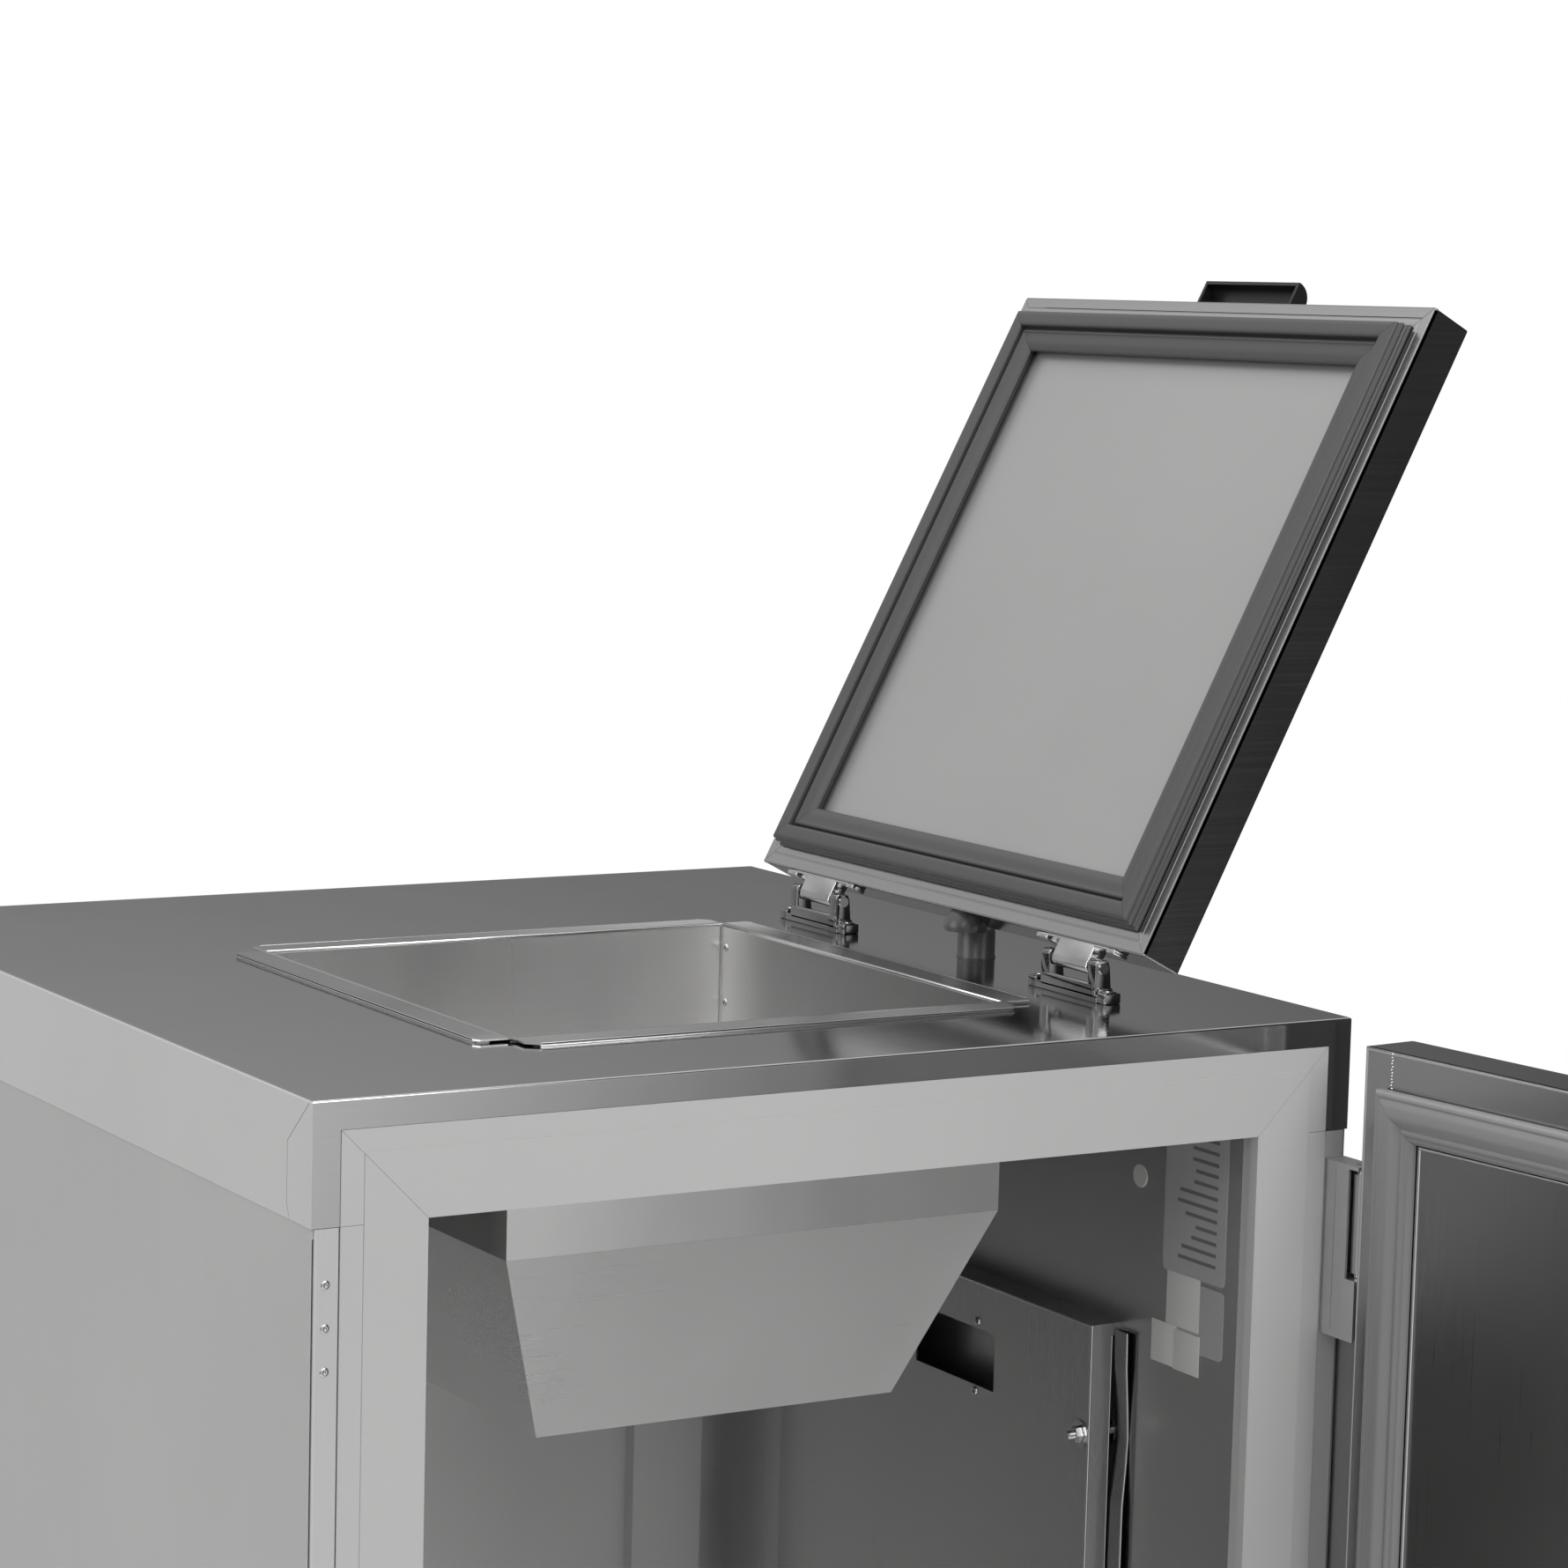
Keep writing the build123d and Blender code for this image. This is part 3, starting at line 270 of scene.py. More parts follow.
def polished_metal(name, color, rough, ripple=0.00004, stains=0.10, metallic=1.0):
    """Chrome, zinc or drawn copper: smooth with shallow ripples and faint stains."""
    material, recipe = new_material(name)
    place = recipe.node("ShaderNodeTexCoord", {}, {}, out="Object")
    ripples = recipe.noise(place, 130.0, 3.0)
    stain = recipe.noise(place, 38.0, 4.0, (1.0, 1.0, 1.0), 0.65, (0.3, 0.9, 2.2))
    dark = tuple(c * (1.0 - stains) for c in color) + (1.0,)
    shade = recipe.blend(stain, dark, (*color, 1.0))
    dull = rough + (0.10 * (stain - 0.4)).clamped()
    relief = recipe.bump(ripples, ripple, 0.5)
    finish_with(recipe, {"Base Color": shade, "Metallic": metallic, "Roughness": dull, "Normal": relief})
    return material


def foam_material():
    """Rigid closed-cell foam, cream with small cut cells."""
    material, recipe = new_material("insulating_foam")
    place = recipe.node("ShaderNodeTexCoord", {}, {}, out="Object")
    cells = recipe.node("ShaderNodeTexVoronoi", {}, {"Vector": place, "Scale": 420.0}, out="Distance")
    cloud = recipe.noise(place, 9.0, 3.0)
    amount = (cells * 0.7 + cloud * 0.5).clamped()
    shade = recipe.blend(amount, (0.62, 0.50, 0.26, 1.0), (0.86, 0.77, 0.50, 1.0))
    relief = recipe.bump(cells, 0.0008, 0.7)
    finish_with(recipe, {"Base Color": shade, "Roughness": 0.85, "Normal": relief})
    return material


def enamel_material():
    """Baked black enamel with light orange peel and a little dust."""
    material, recipe = new_material("black_enamel")
    place = recipe.node("ShaderNodeTexCoord", {}, {}, out="Object")
    peel = recipe.noise(place, 260.0, 2.0)
    dust = recipe.noise(place, 30.0, 5.0, (1.0, 1.0, 1.0), 0.7)
    shade = recipe.blend(dust ** 3.0, (0.010, 0.010, 0.011, 1.0), (0.10, 0.10, 0.10, 1.0))
    relief = recipe.bump(peel, 0.0001, 0.5)
    finish_with(recipe, {"Base Color": shade, "Roughness": 0.28 + 0.2 * dust, "Normal": relief})
    return material


def plate_material():
    """Unprinted satin plate: faint grey bars where a maker would print."""
    material, recipe = new_material("blank_plate")
    place = recipe.node("ShaderNodeTexCoord", {}, {}, out="Object")
    parts = recipe.node("ShaderNodeSeparateXYZ", {}, {"Vector": place}, out=1)
    up = Wire(recipe, parts.socket.node.outputs[2])
    row = recipe.node("ShaderNodeMath", {"operation": "FLOOR"}, {0: up * 140.0})
    part_way = recipe.node("ShaderNodeMath", {"operation": "FRACT"}, {0: up * 140.0})
    inside_row = part_way.above(0.35) * (1.0 - part_way.above(0.68))
    length = recipe.node("ShaderNodeTexWhiteNoise", {"noise_dimensions": "1D"}, {"W": row}, out=0)
    low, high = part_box("rating_plate")
    margin, blank_foot, blank_head = 0.0035, 0.054, 0.010
    ends = {"Value": parts, "From Min": low.y + margin, "From Max": high.y - margin}
    run = recipe.node("ShaderNodeMapRange", {}, ends)
    in_run = run.above(0.10) * (1.0 - (run - length * 0.35).above(0.48))
    bars = inside_row * in_run * up.above(low.z + blank_foot) * (1.0 - up.above(high.z - blank_head))
    satin = recipe.noise(place, 300.0, 3.0)
    shade = recipe.blend(bars * 0.75, grey(0.46), grey(0.10))
    finish_with(recipe, {"Base Color": shade, "Metallic": 0.25, "Roughness": 0.40 + 0.1 * satin})
    return material


STEEL_ALONG_X = (6.0, 900.0, 900.0)
STEEL_ALONG_Y = (900.0, 6.0, 900.0)
STEEL_ALONG_Z = (900.0, 900.0, 6.0)

# Shade, roughness and metallic of each sheet are set for these lights. They aren't grades of steel: the many
# shades are lighter and darker copies of much the same steel, painted light and shade.
finishes = {
    "worktop_steel": worktop_material(),
    "side_steel": steel_sheet("side_steel", 0.50, 0.42, STEEL_ALONG_Z, 0.000003, 0.05, 0.55, 0.02),
    "corner_steel": steel_sheet("corner_steel", 0.60, 0.42, STEEL_ALONG_Z, 0.000006, 0.05, 0.5, 0.04),
    "sticker_paper": moulded("sticker_paper", (0.62, 0.62, 0.60), 0.42, 400.0, 0.00002, 0.0, 0.0, 0.05),
    # fold_steel is a brighter copy of the steel: painted highlight on folds, seams, hems, beads and weld dots.
    "fold_steel": steel_sheet("fold_steel", 0.74, 0.18, (60.0, 60.0, 60.0), 0.00001, 0.1, 1.0, 0.05),
    "frame_profile": steel_sheet("frame_profile", 0.51, 0.46, STEEL_ALONG_Z, 0.000004, 0.06, 0.15, 0.012),
    "frame_profile_across": steel_sheet("frame_profile_across", 0.51, 0.46, STEEL_ALONG_X, 0.000004, 0.06, 0.15,
                                        0.012),
    "chute_steel": chute_material(),
    "funnel_steel": steel_sheet("funnel_steel", 0.68, 0.32, STEEL_ALONG_X, 0.000003, 0.14, 0.85, 0.02),
    "liner_steel": steel_sheet("liner_steel", 0.50, 0.34, STEEL_ALONG_Z, 0.000003, 0.14, 0.9, 0.025),
    "lid_steel": steel_sheet("lid_steel", 0.32, 0.15, STEEL_ALONG_X, 0.000004, 0.06, 1.0, 0.05),
    "lid_border_steel": steel_sheet("lid_border_steel", 0.42, 0.20, STEEL_ALONG_Y, 0.00001, 0.14),
    "lid_panel_steel": steel_sheet("lid_panel_steel", 0.37, 0.36, STEEL_ALONG_Y, 0.00001, 0.05, 0.6, 0.03),
    "door_panel_steel": steel_sheet("door_panel_steel", 0.31, 0.30, STEEL_ALONG_Z, 0.000003, 0.06, 1.0, 0.012),
    "door_steel": steel_sheet("door_steel", 0.39, 0.22, STEEL_ALONG_Z, 0.00001, 0.08, 1.0, 0.05),
    "zinc_sheet": steel_sheet("zinc_sheet", 0.52, 0.42, (60.0, 60.0, 60.0), 0.00001, 0.20, 0.9, 0.16),
    "cover_steel": steel_sheet("cover_steel", 0.48, 0.30, STEEL_ALONG_Z, 0.000003, 0.12, 0.9, 0.025),
    "strip_steel": steel_sheet("strip_steel", 0.26, 0.28, STEEL_ALONG_Z, 0.00002, 0.12),
    "blank_plate": plate_material(),
    "chrome": polished_metal("chrome", (0.78, 0.78, 0.79), 0.05),
    # hinge_chrome and tongue_chrome are darker copies of the chrome: painted shade, strongest on the hinge bases.
    "hinge_chrome": polished_metal("hinge_chrome", (0.30, 0.30, 0.305), 0.06, 0.00012, 0.3),
    "tongue_chrome": polished_metal("tongue_chrome", (0.58, 0.58, 0.585), 0.16, 0.00012, 0.3),
    "cast_hinge": polished_metal("cast_hinge", (0.60, 0.60, 0.61), 0.30, 0.0001, 0.2, 0.8),
    "zinc_fastener": polished_metal("zinc_fastener", (0.66, 0.66, 0.66), 0.22, 0.00005, 0.25),
    "aluminium_fins": polished_metal("aluminium_fins", (0.68, 0.69, 0.70), 0.35, 0.0001, 0.25),
    "copper": polished_metal("copper", (0.66, 0.33, 0.20), 0.30, 0.0001, 0.35),
    "black_plastic": moulded("black_plastic", (0.004, 0.004, 0.004), 0.30, 1200.0, 0.00004),
    "black_rubber": moulded("black_rubber", (0.045, 0.045, 0.045), 0.33, 700.0, 0.00008, 0.1),
    "white_plastic": moulded("white_plastic", (0.50, 0.50, 0.49), 0.40),
    "lid_gasket_vinyl": moulded("lid_gasket_vinyl", (0.048, 0.048, 0.050), 0.38, 500.0, 0.00005, wear=0.12),
    "door_gasket_vinyl": moulded("door_gasket_vinyl", (0.205, 0.205, 0.207), 0.22, 500.0, 0.00005, wear=0.12),
    "insulating_foam": foam_material(),
    "black_enamel": enamel_material(),
}

worn_by = {
    "worktop_steel": "top_cover",
    "side_steel": "side_panel_left side_panel_right rear_panel",
    "corner_steel": "corner_strips",
    "frame_profile": "frame_rail_left frame_rail_right",
    "frame_profile_across": "frame_rail_top frame_rail_bottom",
    "chute_steel": "chute_throat",
    "funnel_steel": "chute_funnel",
    "liner_steel": "liner_left liner_right liner_rear liner_floor liner_ceiling pipe_cover",
    "lid_steel": "lid_shell",
    "lid_panel_steel": "lid_inner_panel",
    "door_panel_steel": "door_inner_panel",
    "door_steel": "door_shell hinge_guard door_handle",
    "zinc_sheet": "base_pan machine_bulkhead rear_grille",
    "cover_steel": "evaporator_cover",
    "strip_steel": "evaporator_clamp_strip",
    "blank_plate": "rating_plate",
    "hinge_chrome": "lid_hinge_bases lid_hinge_leaves",
    "chrome": "hinge_pins",
    "cast_hinge": "door_hinge_brackets door_hinge_leaves",
    "zinc_fastener": "cover_fasteners blind_rivets",
    "aluminium_fins": "evaporator_coil condenser",
    "copper": "pipework",
    "black_plastic": "lid_handle control_housings switch_rocker thermostat_knob fan_shroud mains_inlet "
                     "condenser_fan",
    "black_rubber": "bumper_post lid_buffer feet",
    "white_plastic": "wall_plug",
    "lid_gasket_vinyl": "lid_gasket",
    "door_gasket_vinyl": "door_gasket",
    "insulating_foam": "foam_sides foam_rear foam_floor foam_top door_foam lid_foam",
    "black_enamel": "compressor fan_motor",
}
for finish, names in worn_by.items():
    for name in names.split():
        node = frame["nodes"][name]
        node.data.materials.clear()
        node.data.materials.append(finishes[finish])


# ---------------------------------------------------------------- where the moving pieces were made
def joint(name):
    return next(j for j in frame["joints"] if j["name"] == name)


def opened(name, angle, letter):
    """Matrix that swings a piece from the closed pose to the standing open one."""
    pin = Vector(joint(name)["pos_m"])
    return Matrix.Translation(pin) @ turn_about(letter, angle) @ Matrix.Translation(-pin)


LID_OPEN = 117.54
DOOR_OPEN = 95.5
lid_open = opened("lid_hinge", LID_OPEN, "Y")
door_open = opened("door_hinge", DOOR_OPEN, "Z")
standing = Matrix.Identity(4)


def closed_box(name, swing=standing):
    """Lowest and highest corner of a CAD node, with its body swung shut."""
    back = swing.inverted()
    corners = [back @ v.co for v in frame["nodes"][name].data.vertices]
    low = Vector([min(c[i] for c in corners) for i in range(3)])
    high = Vector([max(c[i] for c in corners) for i in range(3)])
    return low, high


# ---------------------------------------------------------------- mesh helpers
def keep_shape(name, shape, finish, body, swing=standing, smooth_angle=35.0, replaces=()):
    """Turns a bmesh into a finished piece that rides on a body."""
    bmesh.ops.transform(shape, matrix=swing, verts=shape.verts[:])
    bmesh.ops.recalc_face_normals(shape, faces=shape.faces[:])
    mesh = bpy.data.meshes.new(name)
    shape.to_mesh(mesh)
    shape.free()
    return keep_mesh(name, mesh, finish, body, smooth_angle, replaces)


def keep_mesh(name, mesh, finish, body, smooth_angle=35.0, replaces=()):
    piece = bpy.data.objects.new(name, mesh)
    bpy.context.scene.collection.objects.link(piece)
    mesh.shade_smooth()
    mesh.set_sharp_from_angle(angle=math.radians(smooth_angle))
    if finish is not None:
        mesh.materials.clear()
        mesh.materials.append(finishes[finish])
    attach(piece, body)
    if replaces:
        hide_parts(*replaces)
    return piece


def rounded_profile(points, steps=3):
    """Softens the corners of a closed outline of (across, high) points."""
    result = []
    count = len(points)
    for i, (a, b) in enumerate(points):
        before, after = points[i - 1], points[(i + 1) % count]
        for step in range(steps):
            t = step / (steps - 1)
            reach = 0.28
            start = (a + (before[0] - a) * reach, b + (before[1] - b) * reach)
            stop = (a + (after[0] - a) * reach, b + (after[1] - b) * reach)
            first = (start[0] + (a - start[0]) * t, start[1] + (b - start[1]) * t)
            second = (a + (stop[0] - a) * t, b + (stop[1] - b) * t)
            result.append((first[0] + (second[0] - first[0]) * t, first[1] + (second[1] - first[1]) * t))
    return result


def mitred_ring(shape, rect, profile, place, gap=0.00012):
    """Sweeps a profile round a rectangle in four lengths that meet at welded mitres.

    rect is (a0, a1, b0, b1); the profile is measured inwards from it and up; place turns
    (a, b, high) into a point of the object.
    """
    a0, a1, b0, b1 = rect
    corners = [(a0, b0, 1, 1), (a1, b0, -1, 1), (a1, b1, -1, -1), (a0, b1, 1, -1)]
    for i in range(4):
        first, second = corners[i], corners[(i + 1) % 4]
        run = Vector((second[0] - first[0], second[1] - first[1])).normalized() * gap
        ends = []
        for corner, sign in ((first, 1), (second, -1)):
            loop = []
            for inward, high in profile:
                a = corner[0] + corner[2] * inward + run.x * sign
                b = corner[1] + corner[3] * inward + run.y * sign
                loop.append(shape.verts.new(place(a, b, high)))
            ends.append(loop)
        count = len(profile)
        for k in range(count):
            n = (k + 1) % count
            shape.faces.new((ends[0][k], ends[0][n], ends[1][n], ends[1][k]))
        shape.faces.new(ends[0])
        shape.faces.new(list(reversed(ends[1])))


def millimetres(points):
    return [(a / 1000.0, b / 1000.0) for a, b in points]


# ---------------------------------------------------------------- gaskets
def make_lid_gasket():
    """Magnetic gasket of the lid: flat bulb, narrow rib in the groove beside it, sloping skirt."""
    low, high = closed_box("lid_gasket", lid_open)
    profile = rounded_profile(millimetres([
        (0.0, 0.0), (0.0, 2.6), (1.6, 3.2), (2.2, 5.2), (1.2, 5.9), (1.2, 7.6), (2.4, 8.2), (2.4, 11.2),
        (3.8, 12.6), (12.6, 12.4), (13.8, 11.2), (13.9, 6.4), (15.4, 6.2), (15.9, 8.9), (17.6, 9.3),
        (18.2, 8.4), (25.5, 8.2), (30.4, 6.4), (31.2, 5.2), (30.8, 3.6), (29.0, 3.2), (28.6, 0.0)]))
    shape = bmesh.new()
    rect = (low.x, high.x, low.y, high.y)
    mitred_ring(shape, rect, profile, lambda a, b, h: Vector((a, b, high.z - h)))
    keep_shape("lid_gasket_seal", shape, "lid_gasket_vinyl", "lid", lid_open, 40.0,
               ("lid_gasket",))


def make_door_gasket():
    """Magnetic gasket of the door: narrow outer lip, broad bulb and ribbed inner flank."""
    low, high = closed_box("door_gasket", door_open)
    profile = rounded_profile(millimetres([
        (0.0, 0.0), (0.0, 7.4), (1.0, 8.8), (3.0, 9.3), (4.2, 8.7), (5.4, 9.2), (8.0, 10.1), (14.0, 10.3),
        (16.0, 9.7), (20.0, 6.7), (21.2, 6.2), (22.4, 7.2), (24.0, 7.0), (25.0, 5.6), (27.6, 5.3), (28.2, 3.8),
        (29.4, 3.2), (29.8, 0.0)]))
    shape = bmesh.new()
    rect = (low.x, high.x, low.z, high.z)
    mitred_ring(shape, rect, profile, lambda a, b, h: Vector((a, low.y + h, b)))
    keep_shape("door_gasket_seal", shape, "door_gasket_vinyl", "door", door_open, 40.0,
               ("door_gasket",))


def make_lid_rim():
    """Folded border of the lid's underside: outer flat, crease, and a strip that dips to the gasket."""
    low, high = closed_box("lid_shell", lid_open)
    profile = millimetres([(0.5, -0.4), (0.5, 0.16), (0.9, 0.42), (7.6, 0.42), (8.0, 0.05), (8.5, 0.0),
                           (8.9, 0.34), (11.5, 0.55), (14.6, 0.12), (14.8, -0.4)])
    shape = bmesh.new()
    rect = (low.x, high.x, low.y, high.y)
    mitred_ring(shape, rect, profile, lambda a, b, h: Vector((a, b, low.z - h)), 0.00025)
    fold = millimetres([(0.0, -2.6), (0.0, -0.35), (0.12, -0.08), (0.45, 0.02), (0.7, 0.02), (0.7, -0.5)])
    mitred_ring(shape, rect, fold, lambda a, b, h: Vector((a, b, low.z - h)), 0.00025)
    keep_shape("lid_border_strip", shape, "lid_border_steel", "lid", lid_open, 25.0)


make_lid_gasket()
make_door_gasket()
make_lid_rim()


# ---------------------------------------------------------------- repeated small parts
def repeat_tree():
    """Geometry Nodes: one piece at every point of the carrier mesh."""
    tree = bpy.data.node_groups.new("piece_at_points", "GeometryNodeTree")
    face = tree.interface
    face.new_socket("Points", in_out="INPUT", socket_type="NodeSocketGeometry")
    face.new_socket("Piece", in_out="INPUT", socket_type="NodeSocketObject")
    face.new_socket("Turn", in_out="INPUT", socket_type="NodeSocketVector")
    face.new_socket("Size", in_out="INPUT", socket_type="NodeSocketVector")
    face.new_socket("Finish", in_out="INPUT", socket_type="NodeSocketMaterial")
    face.new_socket("Pieces", in_out="OUTPUT", socket_type="NodeSocketGeometry")
    given = tree.nodes.new("NodeGroupInput")
    source = tree.nodes.new("GeometryNodeObjectInfo")
    place = tree.nodes.new("GeometryNodeInstanceOnPoints")
    euler = tree.nodes.new("FunctionNodeEulerToRotation")
    solid = tree.nodes.new("GeometryNodeRealizeInstances")
    coat = tree.nodes.new("GeometryNodeSetMaterial")
    result = tree.nodes.new("NodeGroupOutput")
    for start, stop in (
        (given.outputs["Points"], place.inputs["Points"]),
        (given.outputs["Piece"], source.inputs["Object"]),
        (source.outputs["Geometry"], place.inputs["Instance"]),
        (given.outputs["Turn"], euler.inputs["Euler"]),
        (euler.outputs["Rotation"], place.inputs["Rotation"]),
        (given.outputs["Size"], place.inputs["Scale"]),
        (place.outputs["Instances"], solid.inputs["Geometry"]),
        (solid.outputs["Geometry"], coat.inputs["Geometry"]),
        (given.outputs["Finish"], coat.inputs["Material"]),
        (coat.outputs["Geometry"], result.inputs["Pieces"]),
    ):
        tree.links.new(start, stop)
    return tree


piece_at_points = repeat_tree()


def mesh_of(carrier):
    """Plain mesh of an object with its modifiers applied; the object is thrown away."""
    graph = bpy.context.evaluated_depsgraph_get()
    mesh = bpy.data.meshes.new_from_object(carrier.evaluated_get(graph))
    carrier.modifiers.clear()
    bpy.data.objects.remove(carrier)
    return mesh


def on_stage(name, mesh):
    carrier = bpy.data.objects.new(name, mesh)
    bpy.context.scene.collection.objects.link(carrier)
    return carrier


def repeat(piece, points, turn, finish, size=(1.0, 1.0, 1.0)):
    """Bmesh of one piece copied to every point, all turned alike."""
    source = on_stage("repeated_piece", piece)
    mesh = bpy.data.meshes.new("points")
    mesh.from_pydata([tuple(point) for point in points], [], [])
    carrier = on_stage("points", mesh)
    modifier = carrier.modifiers.new("repeat", "NODES")
    modifier.node_group = piece_at_points
    sockets = {item.name: item.identifier for item in piece_at_points.interface.items_tree}
    modifier[sockets["Piece"]] = source
    modifier[sockets["Turn"]] = [math.radians(angle) for angle in turn]
    modifier[sockets["Size"]] = list(size)
    modifier[sockets["Finish"]] = finishes[finish]
    carrier.update_tag()
    bpy.context.view_layer.update()
    made = mesh_of(carrier)
    bpy.data.objects.remove(source)
    return made


def turned(profile, segments=28):
    """Lathe: (radius, height) pairs in millimetres spun about +Z, as a closed mesh."""
    shape = bmesh.new()
    rings = []
    for radius, high in millimetres(profile):
        if radius < 1e-7:
            rings.append([shape.verts.new((0.0, 0.0, high))])
            continue
        rings.append([
            shape.verts.new((radius * math.cos(angle), radius * math.sin(angle), high))
            for angle in (2 * math.pi * i / segments for i in range(segments))
        ])
    for lower, upper in zip(rings, rings[1:]):
        for i in range(segments):
            n = (i + 1) % segments
            if len(lower) == 1:
                shape.faces.new((lower[0], upper[n], upper[i]))
            elif len(upper) == 1:
                shape.faces.new((lower[i], lower[n], upper[0]))
            else:
                shape.faces.new((lower[i], lower[n], upper[n], upper[i]))
    bmesh.ops.recalc_face_normals(shape, faces=shape.faces[:])
    mesh = bpy.data.meshes.new("turned")
    shape.to_mesh(mesh)
    shape.free()
    return mesh


def block(low, high):
    """Box between two corners, in millimetres, as a mesh."""
    shape = bmesh.new()
    bmesh.ops.create_cube(shape, size=1.0)
    for vert in shape.verts:
        vert.co = Vector([(low[i] if vert.co[i] < 0 else high[i]) / 1000.0 for i in range(3)])
    mesh = bpy.data.meshes.new("block")
    shape.to_mesh(mesh)
    shape.free()
    return mesh


def carved(mesh, cutters):
    """Mesh with every cutter taken out of it."""
    body = on_stage("carved", mesh)
    tools = []
    for cutter in cutters:
        tool = on_stage("cutter", cutter)
        cut = body.modifiers.new("cut", "BOOLEAN")
        cut.operation = "DIFFERENCE"
        cut.solver = "EXACT"
        cut.object = tool
        tools.append(tool)
    bpy.context.view_layer.update()
    made = mesh_of(body)
    for tool in tools:
        bpy.data.objects.remove(tool)
    return made


def joined(meshes, swing=standing):
    """Several meshes as one bmesh."""
    shape = bmesh.new()
    for mesh in meshes:
        shape.from_mesh(mesh)
    bmesh.ops.transform(shape, matrix=swing, verts=shape.verts[:])
    return shape


def islands(name):
    """Lowest and highest corner of every separate solid in a CAD node."""
    shape = bmesh.new()
    shape.from_mesh(frame["nodes"][name].data)
    bmesh.ops.remove_doubles(shape, verts=shape.verts[:], dist=1e-6)
    waiting = set(shape.verts)
    found = []
    while waiting:
        group = [waiting.pop()]
        for vert in group:
            for edge in vert.link_edges:
                other = edge.other_vert(vert)
                if other in waiting:
                    waiting.remove(other)
                    group.append(other)
        low = Vector([min(v.co[i] for v in group) for i in range(3)])
        high = Vector([max(v.co[i] for v in group) for i in range(3)])
        found.append((low, high))
    shape.free()
    return found


FACE_FRONT = (90.0, 0.0, 0.0)
FACE_BACK = (-90.0, 0.0, 0.0)
FACE_LEFT = (0.0, -90.0, 0.0)
FACE_RIGHT = (0.0, 90.0, 0.0)
FACE_UP = (0.0, 0.0, 0.0)

BLIND_RIVET = [(0.0, 0.35), (0.55, 0.40), (0.62, 0.15), (0.95, 0.12), (1.02, 0.80), (1.5, 0.92), (2.1, 0.80),
               (2.6, 0.45), (2.75, 0.12), (2.75, -0.05), (0.0, -0.05)]
PAN_HEAD = [(0.0, 1.9), (1.0, 1.84), (2.0, 1.62), (2.7, 1.15), (3.0, 0.55), (3.0, -0.05), (0.0, -0.05)]
PIN_END = [(0.0, 1.35), (1.2, 1.35), (1.45, 1.05), (1.6, 0.75), (1.9, 0.75), (2.2, 1.25), (2.9, 1.3), (3.35, 0.9),
           (3.4, 0.0), (0.0, 0.0)]


def cross_head():
    """Pan head screw with a cross recess."""
    slots = [block((-1.6, -0.28, 0.9), (1.6, 0.28, 3.0)), block((-0.28, -1.6, 0.9), (0.28, 1.6, 3.0))]
    return carved(turned(PAN_HEAD), slots)


def make_rivets():
    strip, chute_right, chute_left = [], [], []
    for low, high in islands("blind_rivets"):
        middle = (low + high) / 2
        if high.y - low.y < high.x - low.x:
            strip.append((middle.x, high.y, middle.z))
        elif middle.x > 0:
            chute_right.append((high.x, middle.y, middle.z))
        else:
            chute_left.append((low.x, middle.y, middle.z))
    shape = joined([
        repeat(turned(BLIND_RIVET), strip, FACE_FRONT, "zinc_fastener"),
        repeat(turned(BLIND_RIVET), chute_right, FACE_LEFT, "zinc_fastener"),
        repeat(turned(BLIND_RIVET), chute_left, FACE_RIGHT, "zinc_fastener"),
    ])
    keep_shape("rivets", shape, "zinc_fastener", "cabinet", standing, 40.0,
               ("blind_rivets",))


def threaded_bolt(radius, length, pitch=1.0):
    """Bolt shank with ridges for the thread and a bevelled tip."""
    profile = [(0.0, 0.0), (radius, 0.0)]
    high = 0.2
    while high < length - 1.2:
        profile += [(radius, high), (radius - 0.38, high + pitch / 2)]
        high += pitch
    profile += [(radius, high), (radius - 0.9, length), (0.0, length)]
    return turned(profile, 24)


def make_cover_fasteners():
    """Stud with nut and washers on the evaporator cover, and its two cross-head screws."""
    parts = sorted(islands("cover_fasteners"), key=lambda box: box[1].x - box[0].x)
    bolt = parts[-1]
    y, z = (bolt[0].y + bolt[1].y) / 2, (bolt[0].z + bolt[1].z) / 2
    shank = threaded_bolt(3.0, (bolt[1].x - bolt[0].x) * 1000)
    meshes = [repeat(shank, [(bolt[1].x, y, z)], FACE_LEFT, "zinc_fastener")]
    nut = bmesh.new()
    bmesh.ops.create_cone(nut, cap_ends=True, segments=6, radius1=0.0056, radius2=0.0056, depth=0.0046)
    bmesh.ops.bevel(nut, geom=[e for e in nut.edges if abs(e.verts[0].co.z - e.verts[1].co.z) < 1e-6],
                    offset=0.0005, segments=2, affect="EDGES")
    nut_mesh = bpy.data.meshes.new("nut")
    nut.to_mesh(nut_mesh)
    nut.free()
    washer = [(3.1, 0.0), (8.8, 0.0), (9.0, 0.2), (9.0, 0.5), (8.7, 0.7), (3.1, 0.7)]
    washer_profile = washer + [washer[0]]
    for low, high in parts[:-1]:
        wide = high.y - low.y
        middle = (low + high) / 2
        seat = (high.x, middle.y, middle.z)
        if wide > 0.015:
            meshes.append(repeat(turned(washer_profile), [seat], FACE_LEFT, "zinc_fastener"))
        elif wide > 0.009:
            meshes.append(repeat(nut_mesh, [middle], FACE_LEFT, "zinc_fastener"))
        else:
            meshes.append(repeat(cross_head(), [seat], FACE_LEFT, "zinc_fastener"))
    keep_shape("evaporator_cover_fasteners", joined(meshes), "zinc_fastener", "cabinet", standing, 30.0,
               ("cover_fasteners",))


